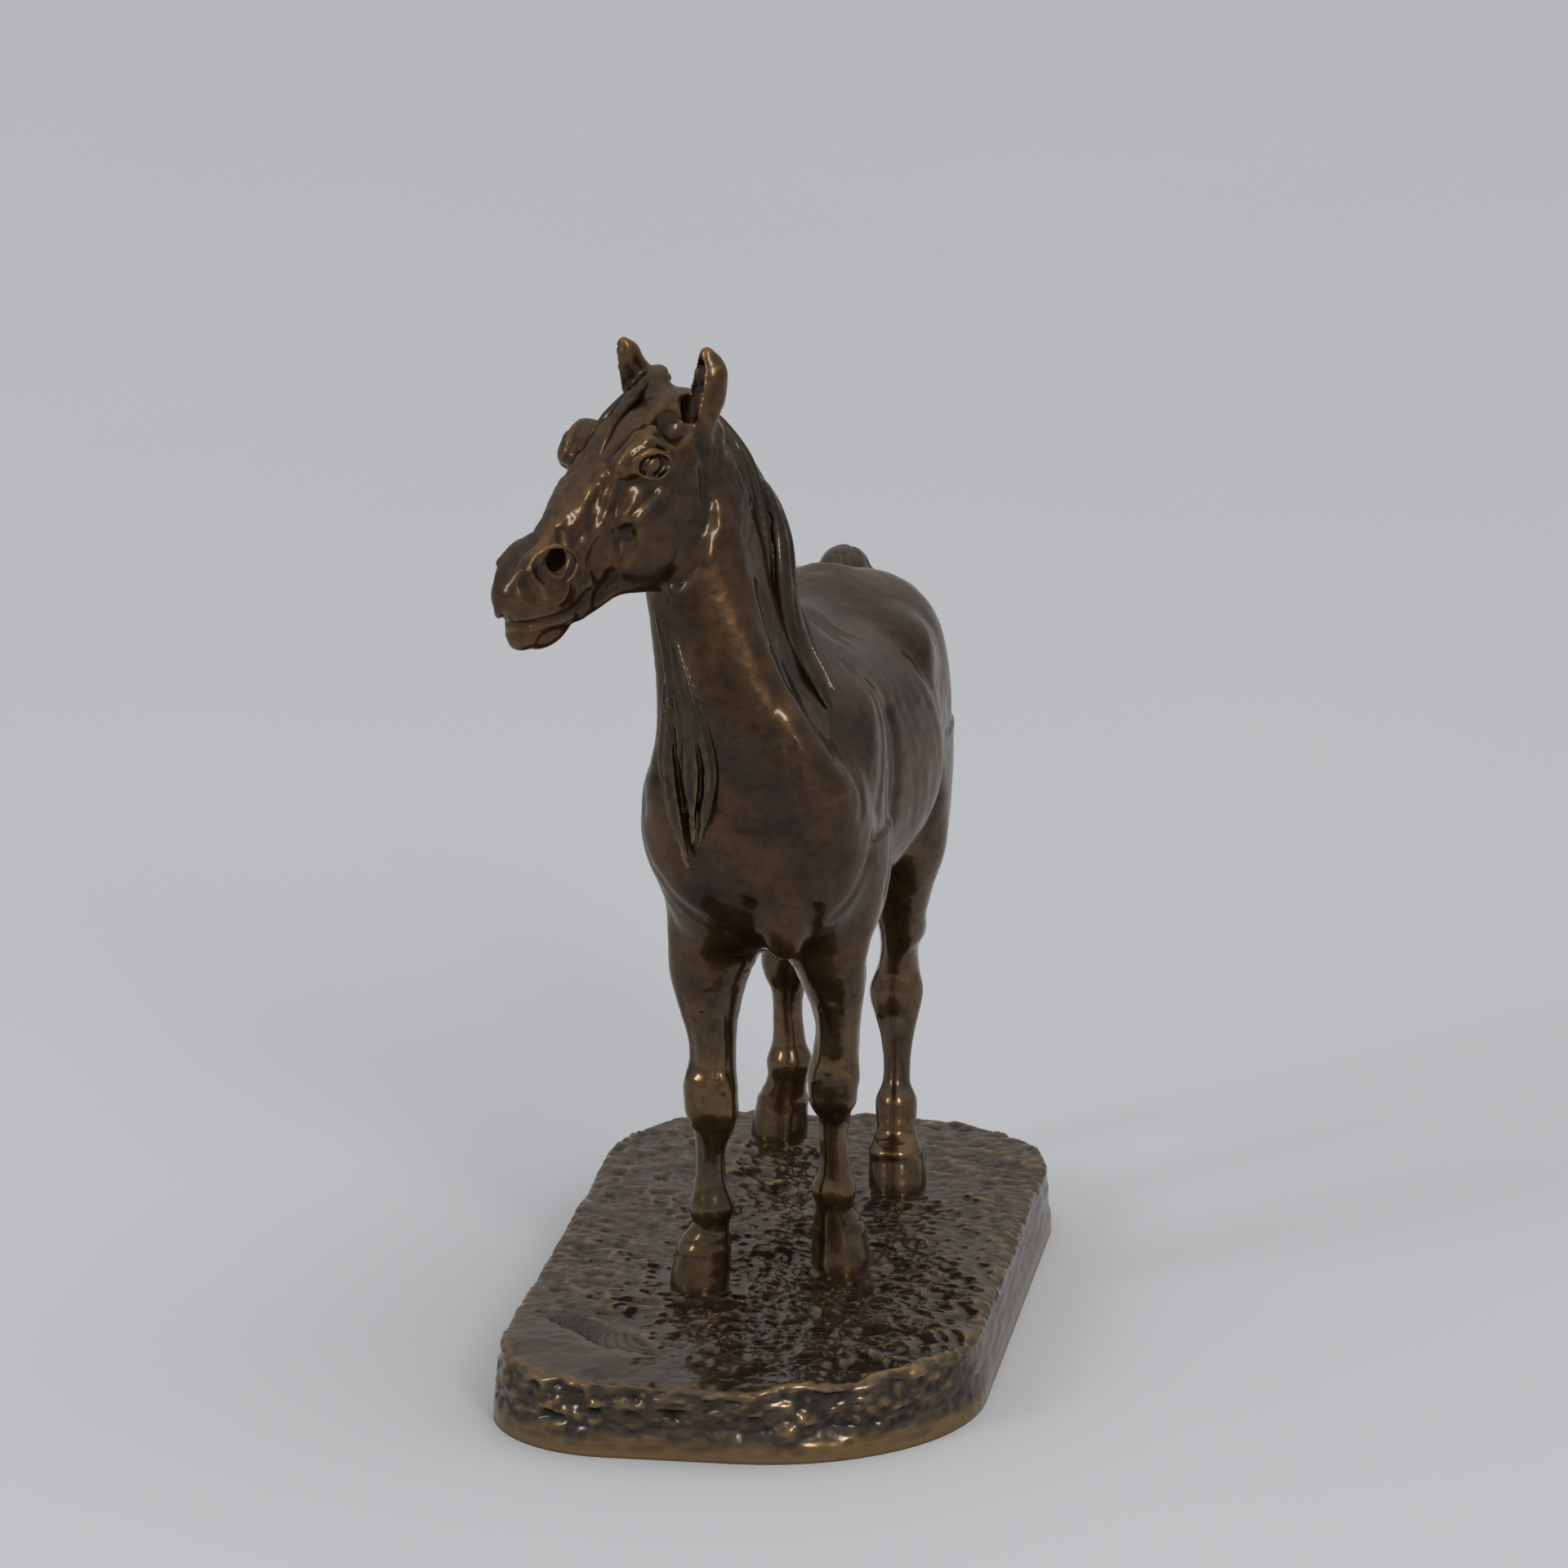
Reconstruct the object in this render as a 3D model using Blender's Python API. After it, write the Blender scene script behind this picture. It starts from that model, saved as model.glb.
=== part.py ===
"""A walking horse in patinated bronze on a rocky terrace, as its founder builds it.

The trunk and neck are hollow castings that lap and pin together. The solid legs and the
tail have dowels that sit in bored bosses of the trunk. Studs hold the hooves to the base.
The horse faces -Y, its left side is +X, and z = 0 is the plane the base rests on.
"""

import math

import bpy
import numpy as np
from mathutils import Matrix, Vector

MM = 0.001

# Overall sizes. The horse's stance follows the base that carries it.
BASE_WIDTH = 92.0 * MM
BASE_LENGTH = 177.5 * MM
BASE_HEIGHT = 14.5 * MM
WITHERS_HEIGHT = 127.0 * MM

# Castings
BASE_WALL = 3.4 * MM
BASE_CORNERS = (25.0 * MM, 42.0 * MM, 31.0 * MM, 32.0 * MM)
RIM_HEIGHT = 3.2 * MM
TRUNK_WALL = 3.0 * MM
LEG_JOINT = 80.0
TENON_DEPTH = 6.0 * MM

# Dowels, pins and studs
FIT_GAP = 0.3 * MM
LEG_DOWEL = 7.0 * MM
LEG_DOWEL_LENGTH = 9.0 * MM
TAIL_DOWEL = 4.4 * MM
TAIL_DOWEL_LENGTH = 9.0 * MM
PIN = 2.0 * MM
STUD = 4.0 * MM
STUD_IN_HOOF = 6.2 * MM
BOSS_WIDTH = 13.0 * MM
BOSS_BOTTOM = 7.6 * MM
WASHER_WIDTH = 9.0 * MM
WASHER_THICKNESS = 1.0 * MM
NUT_ACROSS_FLATS = 7.0 * MM
NUT_THICKNESS = 3.0 * MM
PLUG = 6.0 * MM

# The tables below give the horse in millimetres on a base 92 wide and 177.5 long, with
# the ground at 14.5 and the withers 127 above it. These stretch them to the sizes above.
SX = BASE_WIDTH / (92.0 * MM)
SY = BASE_LENGTH / (177.5 * MM)
SZ = WITHERS_HEIGHT / (127.0 * MM)
GROUND = 14.5

# Trunk, front to back: y, middle x, half width, back line, belly line
TRUNK = (
    (-49.5, 0.3, 7.0, 121.0, 101.0),
    (-46.5, 0.4, 14.5, 125.0, 93.0),
    (-41.0, 0.5, 19.0, 130.0, 87.0),
    (-34.0, 0.7, 20.8, 134.0, 84.5),
    (-26.0, 0.9, 21.4, 137.5, 83.2),
    (-17.0, 1.1, 21.2, 140.5, 82.5),
    (-8.0, 1.4, 21.6, 141.5, 82.2),
    (2.0, 1.6, 23.2, 139.4, 81.8),
    (12.0, 1.9, 25.2, 137.2, 81.6),
    (22.0, 2.2, 26.0, 136.8, 82.0),
    (32.0, 2.4, 25.6, 138.4, 84.0),
    (42.0, 2.7, 24.4, 140.8, 88.0),
    (51.0, 2.0, 23.8, 140.8, 92.0),
    (60.0, 1.6, 21.6, 137.6, 95.5),
    (68.0, 1.4, 17.6, 132.0, 99.0),
    (73.5, 1.4, 12.0, 126.0, 104.0),
    (76.5, 1.4, 5.5, 119.5, 110.0),
)

# Neck, chest to poll: centre, forward lean, turn to the right, half depth, half width
NECK = (
    ((1.4, -21.0, 110.0), 32.0, 0.0, 18.5, 14.0),
    ((1.8, -26.5, 122.0), 32.0, 0.0, 23.0, 17.0),
    ((1.6, -30.0, 133.0), 26.0, 4.0, 21.0, 14.4),
    ((0.4, -32.0, 143.0), 19.0, 8.0, 17.4, 11.2),
    ((-1.6, -33.6, 152.0), 14.0, 12.0, 14.8, 9.4),
    ((-4.4, -35.0, 161.0), 12.0, 18.0, 13.2, 8.2),
    ((-8.0, -36.6, 170.0), 14.0, 25.0, 12.2, 7.6),
    ((-11.6, -38.6, 178.5), 20.0, 32.0, 11.4, 7.2),
    ((-15.0, -41.0, 186.5), 32.0, 38.0, 9.0, 6.4),
)
NECK_JOINT_AT = (1.8, -28.4, 127.0)
NECK_JOINT_LEAN = 32.0

# Head: distance from the poll, half width, face line, jaw line, all along its own axes
HEAD_POLL = (-17.5, -42.0, 195.0)
HEAD_TURN = 39.5
HEAD_PITCH = 38.0
HEAD = (
    (-4.0, 5.0, -4.0, -15.0),
    (0.0, 7.4, -0.8, -20.0),
    (5.0, 9.2, 0.8, -23.0),
    (10.0, 10.6, 1.4, -25.0),
    (15.0, 11.2, 1.4, -26.0),
    (20.0, 10.4, 0.6, -26.0),
    (25.0, 9.2, -0.2, -25.0),
    (30.0, 8.0, -0.8, -21.5),
    (35.0, 7.0, -1.2, -17.4),
    (40.0, 7.0, -0.8, -15.6),
    (44.5, 8.0, 0.4, -15.0),
    (48.5, 7.4, 0.2, -15.4),
    (52.0, 5.4, -2.2, -13.6),
    (54.4, 2.8, -5.2, -10.6),
)

# Legs, top to bottom: height, middle x, half width, middle y, half depth
RIGHT_FORELEG = (
    (97.0, -11.6, 7.8, -26.0, 12.5),
    (90.0, -10.4, 8.2, -26.6, 12.0),
    (84.0, -9.7, 7.9, -27.0, 10.6),
    (79.0, -9.9, 7.5, -27.0, 9.2),
    (75.0, -10.2, 6.3, -27.0, 8.0),
    (70.0, -10.0, 5.2, -27.0, 6.7),
    (65.0, -9.7, 4.5, -27.0, 5.7),
    (59.5, -9.8, 4.5, -27.0, 5.4),
    (54.0, -10.0, 4.9, -27.2, 5.7),
    (49.5, -9.9, 4.8, -26.8, 5.4),
    (46.0, -9.8, 4.0, -26.2, 4.7),
    (42.0, -10.3, 3.0, -26.0, 4.1),
    (36.5, -10.4, 3.0, -26.0, 4.0),
    (33.0, -10.3, 3.5, -26.0, 4.4),
    (29.5, -10.1, 3.8, -25.8, 4.8),
    (26.5, -10.3, 3.2, -26.2, 4.0),
    (23.5, -11.0, 3.3, -26.6, 3.8),
    (21.2, -11.9, 4.4, -26.4, 5.1),
    (18.0, -12.4, 5.1, -26.2, 5.9),
    (15.0, -12.7, 5.7, -26.0, 6.5),
)
LEFT_FORELEG = (
    (97.0, 13.2, 7.6, -23.5, 12.5),
    (90.0, 12.6, 7.8, -23.0, 12.0),
    (84.0, 12.0, 7.4, -22.6, 10.6),
    (79.0, 12.0, 6.9, -22.0, 9.2),
    (75.0, 12.9, 6.0, -21.3, 7.9),
    (70.0, 13.3, 4.8, -20.2, 6.6),
    (65.0, 13.4, 4.2, -19.2, 5.7),
    (59.5, 12.9, 4.5, -18.2, 5.4),
    (54.5, 12.5, 4.4, -17.4, 5.6),
    (50.5, 12.2, 3.9, -16.6, 5.3),
    (46.8, 12.3, 3.2, -15.6, 4.6),
    (42.0, 11.9, 2.7, -14.7, 4.1),
    (37.0, 12.0, 3.0, -13.9, 4.0),
    (33.0, 11.9, 3.5, -13.1, 4.4),
    (30.0, 11.7, 3.8, -12.3, 4.8),
    (27.0, 11.8, 3.4, -11.9, 4.1),
    (24.0, 11.8, 3.3, -11.4, 3.8),
    (21.4, 12.3, 4.5, -10.9, 5.1),
    (18.5, 12.5, 5.1, -10.4, 5.9),
    (15.0, 12.9, 5.8, -10.0, 6.5),
)
LEFT_HINDLEG = (
    (112.0, 15.0, 9.0, 48.0, 21.0),
    (101.0, 16.6, 9.0, 45.0, 19.0),
    (92.0, 17.6, 8.2, 43.0, 15.6),
    (85.0, 17.8, 7.0, 43.0, 12.8),
    (80.0, 17.6, 6.2, 44.2, 11.2),
    (75.0, 16.8, 5.4, 46.0, 9.7),
    (70.0, 16.4, 5.0, 48.0, 8.3),
    (65.0, 16.5, 4.6, 50.4, 7.2),
    (60.5, 15.6, 3.9, 52.8, 6.8),
    (56.5, 15.2, 4.3, 54.0, 6.9),
    (52.0, 15.0, 4.9, 53.6, 6.4),
    (47.5, 15.2, 4.5, 52.2, 5.3),
    (42.0, 15.5, 3.2, 50.4, 4.3),
    (36.0, 15.7, 2.7, 48.6, 4.0),
    (31.5, 15.8, 3.1, 47.2, 4.3),
    (27.5, 16.0, 4.0, 46.0, 4.9),
    (24.5, 16.1, 3.8, 45.0, 4.4),
    (22.4, 16.4, 3.8, 43.8, 4.2),
    (20.2, 16.6, 4.6, 42.6, 5.2),
    (17.8, 16.7, 5.4, 41.7, 5.9),
    (15.0, 17.0, 5.9, 41.0, 6.5),
)
RIGHT_HINDLEG = (
    (112.0, -10.6, 9.4, 52.0, 20.0),
    (101.0, -12.0, 9.6, 51.0, 18.6),
    (92.0, -13.0, 8.8, 51.0, 15.6),
    (85.0, -13.4, 7.8, 53.0, 12.8),
    (80.0, -13.2, 6.9, 55.6, 11.2),
    (75.0, -12.6, 6.0, 58.8, 9.8),
    (70.0, -12.0, 5.5, 62.2, 8.6),
    (65.0, -11.4, 5.0, 65.6, 7.6),
    (60.5, -10.8, 4.7, 68.6, 7.2),
    (56.5, -10.3, 4.8, 70.8, 7.0),
    (52.5, -9.9, 5.0, 71.8, 6.6),
    (48.8, -10.0, 4.2, 71.8, 5.5),
    (45.0, -9.8, 3.3, 71.5, 4.6),
    (39.5, -9.8, 3.1, 71.3, 4.1),
    (34.5, -9.6, 3.4, 71.2, 4.2),
    (30.5, -9.4, 4.3, 71.2, 4.9),
    (27.0, -9.7, 4.3, 71.4, 4.8),
    (23.5, -10.6, 3.7, 71.8, 4.2),
    (20.4, -11.2, 4.3, 72.3, 5.1),
    (17.6, -11.6, 5.0, 72.7, 5.8),
    (15.0, -11.9, 5.7, 73.0, 6.5),
)
LEGS = {
    "right_foreleg": RIGHT_FORELEG,
    "left_foreleg": LEFT_FORELEG,
    "left_hindleg": LEFT_HINDLEG,
    "right_hindleg": RIGHT_HINDLEG,
}

# Tail, dock to tip: centre, half width, half depth
TAIL = (
    ((1.4, 66.0, 127.0), 3.4, 3.0),
    ((1.2, 70.5, 132.0), 4.8, 3.4),
    ((1.0, 75.5, 135.4), 5.6, 3.4),
    ((0.9, 80.5, 135.0), 6.0, 3.2),
    ((0.9, 83.6, 130.0), 6.0, 3.2),
    ((0.9, 84.8, 121.0), 6.1, 3.2),
    ((0.7, 84.6, 109.0), 6.2, 3.3),
    ((0.3, 83.8, 96.0), 6.0, 3.2),
    ((0.0, 83.2, 83.0), 5.2, 3.0),
    ((0.2, 83.4, 70.0), 4.0, 2.6),
    ((0.8, 84.4, 60.0), 2.4, 1.8),
    ((1.2, 85.2, 54.0), 0.9, 0.8),
)

# Mane locks: centre, half width across the fall, half thickness, and the fall's outward turn
MANE_LEFT = (
    ((-9.0, -33.0, 192.0), 3.0, 2.6, 60.0),
    ((-4.0, -31.0, 185.0), 5.6, 3.4, 60.0),
    ((0.0, -30.5, 176.0), 7.4, 3.6, 62.0),
    ((3.4, -30.0, 166.0), 8.4, 3.6, 66.0),
    ((6.6, -29.5, 156.0), 8.6, 3.6, 70.0),
    ((9.6, -29.0, 146.0), 7.6, 3.4, 74.0),
    ((13.2, -28.6, 137.0), 5.6, 3.2, 78.0),
    ((16.2, -28.4, 129.0), 2.4, 2.4, 80.0),
)
MANE_RIGHT = (
    ((-17.4, -40.0, 176.0), 2.6, 2.4, -30.0),
    ((-16.4, -42.0, 166.0), 4.6, 3.0, -34.0),
    ((-15.2, -44.6, 155.0), 5.2, 3.2, -38.0),
    ((-14.2, -46.6, 144.0), 5.4, 3.2, -40.0),
    ((-13.0, -48.4, 133.0), 5.0, 3.0, -42.0),
    ((-11.8, -50.0, 121.0), 3.8, 2.6, -40.0),
    ((-10.6, -51.2, 110.0), 2.0, 1.8, -36.0),
    ((-10.0, -51.6, 104.0), 0.8, 0.8, -36.0),
)
FORELOCK = (
    (-4.0, 0.0, 1.7, 2.6),
    (0.0, 0.0, 1.9, 4.2),
    (4.0, -0.2, 2.4, 4.4),
    (8.0, -1.4, 3.8, 3.8),
    (12.0, -2.8, 3.6, 3.4),
    (16.0, -3.8, 2.2, 2.8),
    (19.0, -4.4, 1.0, 1.8),
)


def spot(x, y, z):
    """A point of the tables, in metres at the sizes above."""
    height = BASE_HEIGHT + (z - GROUND) * MM * SZ
    return Vector((x * MM * SX, y * MM * SY, height))


def stretched(ring):
    """A ring worked out in the tables' millimetres, at the sizes above. Every ring that leans or
    turns is made this way, so that no change of size can make two of them cross."""
    return [spot(*p) for p in ring]


def collection(name, hidden):
    made = bpy.data.collections.new(name)
    bpy.context.scene.collection.children.link(made)
    made.hide_render = hidden
    return made


def clear_scene():
    for obj in list(bpy.data.objects):
        bpy.data.objects.remove(obj)


clear_scene()
STATUE = collection("bronze_horse", False)
CUTTERS = collection("cutters", True)


def place(name, mesh, is_cutter):
    obj = bpy.data.objects.new(name, mesh)
    if is_cutter:
        CUTTERS.objects.link(obj)
        obj.hide_render = True
        obj.display_type = "WIRE"
    else:
        STATUE.objects.link(obj)
    return obj


def mesh_from(name, points, faces, smooth=True):
    mesh = bpy.data.meshes.new(name)
    mesh.from_pydata([tuple(p) for p in points], [], faces)
    mesh.polygons.foreach_set("use_smooth", [smooth] * len(mesh.polygons))
    mesh.update()
    return mesh


def loft(name, rings, is_cutter=False):
    """A closed skin over rings of equal count, listed so that their faces look outwards."""
    count = len(rings[0])
    points = [p for ring in rings for p in ring]
    faces = []
    for row in range(len(rings) - 1):
        low = row * count
        for i in range(count):
            j = (i + 1) % count
            faces.append((low + i, low + j, low + count + j, low + count + i))
    faces.append(tuple(reversed(range(count))))
    last = (len(rings) - 1) * count
    faces.append(tuple(range(last, last + count)))
    mesh = mesh_from(name, points, faces)
    volume = sum(
        points[f[0]].dot(points[f[i]].cross(points[f[i + 1]]))
        for f in faces
        for i in range(1, len(f) - 1)
    )
    if volume < 0:
        mesh.flip_normals()
    return place(name, mesh, is_cutter)


def oval(centre, across, along, half_across, half_along, count, power=2.0):
    """A ring round a centre. A power over 2 squares it off."""
    ring = []
    for i in range(count):
        turn = 2 * math.pi * i / count
        c = math.cos(turn)
        s = math.sin(turn)
        u = math.copysign(abs(c) ** (2 / power), c) * half_across
        v = math.copysign(abs(s) ** (2 / power), s) * half_along
        ring.append(centre + across * u + along * v)
    return ring


def rod(name, start, end, width, count=20, is_cutter=False):
    axis = (end - start).normalized()
    side = axis.orthogonal().normalized()
    up = axis.cross(side)
    rings = [oval(p, side, up, width / 2, width / 2, count) for p in (start, end)]
    return loft(name, rings, is_cutter)


def add(obj, other, operation):
    step = obj.modifiers.new(operation.lower() + "_" + other.name, "BOOLEAN")
    step.operation = operation
    step.solver = "EXACT"
    step.object = other


def cut(obj, other):
    add(obj, other, "DIFFERENCE")


def join(obj, other):
    add(obj, other, "UNION")


def keep(obj, other):
    add(obj, other, "INTERSECT")


def finish(obj, colour, roughness):
    """Gives a piece its own bronze, brass or steel."""
    material = bpy.data.materials.new(obj.name + "_metal")
    material.use_nodes = True
    shader = material.node_tree.nodes["Principled BSDF"]
    shader.inputs["Base Color"].default_value = (*colour, 1.0)
    shader.inputs["Metallic"].default_value = 1.0
    shader.inputs["Roughness"].default_value = roughness
    obj.data.materials.append(material)


PATINA = (0.085, 0.048, 0.028)
BASE_PATINA = (0.045, 0.030, 0.022)
RAW_BRASS = (0.55, 0.38, 0.16)
STEEL = (0.45, 0.45, 0.46)


# Trunk and neck skins


def trunk_rings(inset, count=26):
    rings = []
    for y, x, half, top, bottom in TRUNK:
        low = spot(x, y, bottom)
        high = spot(x, y, top)
        middle = (low + high) / 2
        across = max(half * MM * SX - inset, 0.8 * MM)
        along = max((high.z - low.z) / 2 - inset, 0.8 * MM)
        rings.append(oval(middle, Vector((1, 0, 0)), Vector((0, 0, 1)), across, along, count, 2.2))
    if inset > 0:
        # The inner skin stops one wall short of both ends.
        first = rings[0][0].y + inset
        last = rings[-1][0].y - inset
        rings = [r for r in rings if first < r[0].y < last]
    return rings


def neck_axes(lean, turn):
    """The neck's forward, sideways and upward directions at one ring."""
    heading = Vector((-math.sin(math.radians(turn)), -math.cos(math.radians(turn)), 0))
    side = Vector((heading.y, -heading.x, 0))
    tilt = math.radians(lean)
    up = Vector((0, 0, math.cos(tilt))) + heading * math.sin(tilt)
    forward = heading * math.cos(tilt) - Vector((0, 0, math.sin(tilt)))
    return forward, side, up


def neck_rings(inset, rows=NECK, count=22):
    rings = []
    for centre, lean, turn, depth, width in rows:
        forward, side, _ = neck_axes(lean, turn)
        across = width - inset / MM
        along = depth - inset / MM
        rings.append(stretched(oval(Vector(centre), side, forward, across, along, count)))
    return rings


def joint_block(name, above, shift):
    """Half of space as a block, on one side of the neck joint moved up by shift."""
    forward, side, up = neck_axes(NECK_JOINT_LEAN, 0)
    half = 120 * MM
    start = spot(*NECK_JOINT_AT) + up * shift
    end = start + up * (half if above else -half)
    rings = []
    for p in (start, end):
        rings.append([p + side * half * a + forward * half * b for a, b in ((-1, -1), (1, -1), (1, 1), (-1, 1))])
    return loft(name, rings, True)


def leg_rows(rows, above):
    """The rows on one side of the leg joint, with one interpolated at the joint itself."""
    table = np.array(rows)[::-1]
    at_joint = [np.interp(LEG_JOINT, table[:, 0], table[:, k]) for k in range(5)]
    if above:
        kept = [r for r in rows if r[0] > LEG_JOINT + 1.0]
        return kept + [tuple(at_joint)]
    kept = [r for r in rows if r[0] < LEG_JOINT - 1.0]
    return [tuple(at_joint)] + kept


def leg_ring(row, count, drop=0.0):
    z, x, half, y, depth = row
    centre = spot(x, y, z)
    centre.z -= drop
    # Hooves are squarer than the limb above them.
    power = 2.5 if z < 22 else 2.1
    return oval(centre, Vector((1, 0, 0)), Vector((0, 1, 0)), half * MM * SX, depth * MM * SY, count, power)


def joint_centre(rows):
    _, x, _, y, _ = leg_rows(rows, False)[0]
    return spot(x, y, LEG_JOINT)


def tail_axis():
    """Where the tail's dowel meets the dock, and the way the dowel points."""
    root = spot(*TAIL[0][0])
    out = spot(*TAIL[1][0])
    return out, (root - out).normalized()


# Cutters that shape more than one piece


def build_trunk_cutters():
    made = {}
    made["neck_core"] = loft("neck_skin", neck_rings(0.0), True)
    made["trunk_core"] = loft("trunk_skin", trunk_rings(0.0), True)
    made["above"] = joint_block("above_neck_joint", True, 0.0)
    made["below"] = joint_block("below_neck_joint", False, FIT_GAP)
    return made


def hollow(name, inset, bosses):
    """The space inside the trunk and the neck's foot, less the solid bosses."""
    space = loft(name, trunk_rings(inset), True)
    join(space, loft(name + "_neck", neck_rings(inset, NECK[:6]), True))
    for boss in bosses:
        cut(space, boss)
    return space


def build_bosses():
    bosses = []
    for name, rows in LEGS.items():
        centre = joint_centre(rows)
        top = centre + Vector((0, 0, LEG_DOWEL_LENGTH + 2 * TRUNK_WALL))
        low = centre - Vector((0, 0, 4 * MM))
        bosses.append(rod(name + "_boss", low, top, LEG_DOWEL + 2 * TRUNK_WALL, 20, True))
    out, inward = tail_axis()
    end = out + inward * (TAIL_DOWEL_LENGTH + TAIL_DOWEL + 2 * TRUNK_WALL)
    bosses.append(rod("tail_boss", out - inward * 9 * MM, end, TAIL_DOWEL + 2.6 * TRUNK_WALL, 20, True))
    return bosses


def pin_line(name, rows):
    """The ends of a leg's cross pin, outside end first, and of the hole drilled for it."""
    side = -1 if name.startswith("right") else 1
    centre = joint_centre(rows)
    _, _, half, _, _ = leg_rows(rows, False)[0]
    level = centre.z + LEG_DOWEL_LENGTH * 0.55
    outer = centre.x + side * (half - 1.0) * MM * SX
    inner = centre.x - side * (LEG_DOWEL / 2 + 1.2 * MM)
    start = Vector((outer, centre.y, level))
    end = Vector((inner, centre.y, level))
    drilled = (start + Vector((side * 16 * MM, 0, 0)), end - Vector((side * FIT_GAP, 0, 0)))
    return start, end, drilled


def neck_pin_lines():
    """The two pins through the neck's lap, left and right."""
    forward, side, up = neck_axes(NECK_JOINT_LEAN, 0)
    middle = spot(*NECK_JOINT_AT) - up * TENON_DEPTH * 0.5
    lines = []
    for sign, word in ((-1, "right"), (1, "left")):
        outer = middle + Vector((sign * 19.6 * MM * SX, 0, 0))
        inner = outer - Vector((sign * 3.6 * TRUNK_WALL, 0, 0))
        drilled = (outer + Vector((sign * 12 * MM, 0, 0)), inner - Vector((sign * 3 * MM, 0, 0)))
        lines.append((word, outer, inner, drilled))
    return lines


def tail_pin_line():
    out, inward = tail_axis()
    middle = out + inward * TAIL_DOWEL_LENGTH * 0.6
    half = TAIL_DOWEL / 2 + 1.2 * MM
    side = Vector((1, 0, 0))
    start = middle + side * (half + 1.6 * MM)
    end = middle - side * half
    return start, end


def core_plug_lines():
    """Two plugs that close the holes left by the core's supports, in the belly and the rump."""
    belly = spot(1.9, 14.0, 81.6)
    rump = spot(1.4, 75.0, 113.0)
    return (
        ("belly_core_plug", belly + Vector((0, 0, 0.5 * MM)), Vector((0, 0, 1))),
        ("rump_core_plug", rump + Vector((0, -0.8 * MM, 0)), Vector((0, -1, 0))),
    )


def build_trunk(shared, bosses):
    trunk = loft("trunk", trunk_rings(0.0))
    join(trunk, shared["neck_core"])
    for name, rows in LEGS.items():
        rings = [leg_ring(row, 20) for row in leg_rows(rows, True)]
        join(trunk, loft(name + "_stub", rings, True))
    cut(trunk, shared["above"])
    cut(trunk, hollow("trunk_space", TRUNK_WALL, bosses))
    for name, rows in LEGS.items():
        centre = joint_centre(rows)
        deep = centre + Vector((0, 0, LEG_DOWEL_LENGTH + FIT_GAP))
        low = centre - Vector((0, 0, 3 * MM))
        cut(trunk, rod(name + "_socket", low, deep, LEG_DOWEL + 2 * FIT_GAP, 20, True))
        _, _, drilled = pin_line(name, rows)
        cut(trunk, rod(name + "_drilled", *drilled, PIN + FIT_GAP, 12, True))
    for word, _, _, drilled in neck_pin_lines():
        cut(trunk, rod(word + "_neck_drilled", *drilled, PIN + FIT_GAP, 12, True))
    out, inward = tail_axis()
    deep = out + inward * (TAIL_DOWEL_LENGTH + FIT_GAP)
    cut(trunk, rod("tail_socket", out - inward * 8 * MM, deep, TAIL_DOWEL + 2 * FIT_GAP, 20, True))
    start, end = tail_pin_line()
    drill = rod("tail_drilled", start + Vector((26 * MM, 0, 0)), end - Vector((FIT_GAP, 0, 0)), PIN + FIT_GAP, 12, True)
    cut(trunk, drill)
    for name, start, inward in core_plug_lines():
        hole = rod(name + "_hole", start - inward * 6 * MM, start + inward * 9 * MM, PLUG, 20, True)
        cut(trunk, hole)
    finish(trunk, PATINA, 0.34)
    return trunk


# Neck and head, one casting


def head_axes():
    turn = math.radians(HEAD_TURN)
    pitch = math.radians(HEAD_PITCH)
    heading = Vector((-math.sin(turn), -math.cos(turn), 0))
    side = Vector((math.cos(turn), -math.sin(turn), 0))
    along = heading * math.cos(pitch) - Vector((0, 0, math.sin(pitch)))
    face = heading * math.sin(pitch) + Vector((0, 0, math.cos(pitch)))
    return along, side, face


def head_spot(t, u, w):
    """A point given along, across and above the line from the poll to the muzzle."""
    along, side, face = head_axes()
    return spot(*(Vector(HEAD_POLL) + along * t + side * u + face * w))


def head_ring(t, half, top, bottom, count=22, grow=0.0):
    forward, side, face = head_axes()
    middle = Vector(HEAD_POLL) + forward * t + face * (top + bottom) / 2
    along = (top - bottom) / 2 + grow / MM
    ring = []
    for i in range(count):
        turn = 2 * math.pi * i / count
        c = math.cos(turn)
        s = math.sin(turn)
        # The face is flatter than the jaw, which narrows between its branches.
        taper = 1.0 - 0.16 * max(-s, 0)
        wide = math.copysign(abs(c) ** (0.72 if s > 0 else 1.0), c)
        across = (half + grow / MM) * taper
        ring.append(middle + side * wide * across + face * s * along)
    return stretched(ring)


def build_ear(name, base, tip, width):
    """A cupped ear: a leaf with a hollow front."""
    heading, across, face = head_axes()
    base_at = Vector(HEAD_POLL) + heading * base[0] + across * base[1] + face * base[2]
    tip_at = Vector(HEAD_POLL) + heading * tip[0] + across * tip[1] + face * tip[2]
    axis = (tip_at - base_at).normalized()
    front = (heading - axis * heading.dot(axis)).normalized()
    side = axis.cross(front)
    length = (tip_at - base_at).length
    rings = []
    for share, wide in ((-0.22, 0.62), (0.0, 0.78), (0.25, 1.0), (0.5, 0.94), (0.75, 0.62), (0.92, 0.28), (1.0, 0.1)):
        p = base_at + axis * length * share
        rings.append(stretched(oval(p, side, front, width * wide, width * wide * 0.72, 14)))
    ear = loft(name, rings, True)
    hollow_rings = []
    for share, wide in ((0.12, 0.10), (0.25, 0.52), (0.5, 0.58), (0.75, 0.34), (0.9, 0.1)):
        p = base_at + axis * length * share + front * width * 0.62
        hollow_rings.append(stretched(oval(p, side, front, width * wide, width * wide * 0.9, 12)))
    cut(ear, loft(name + "_cup", hollow_rings, True))
    return ear


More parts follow.
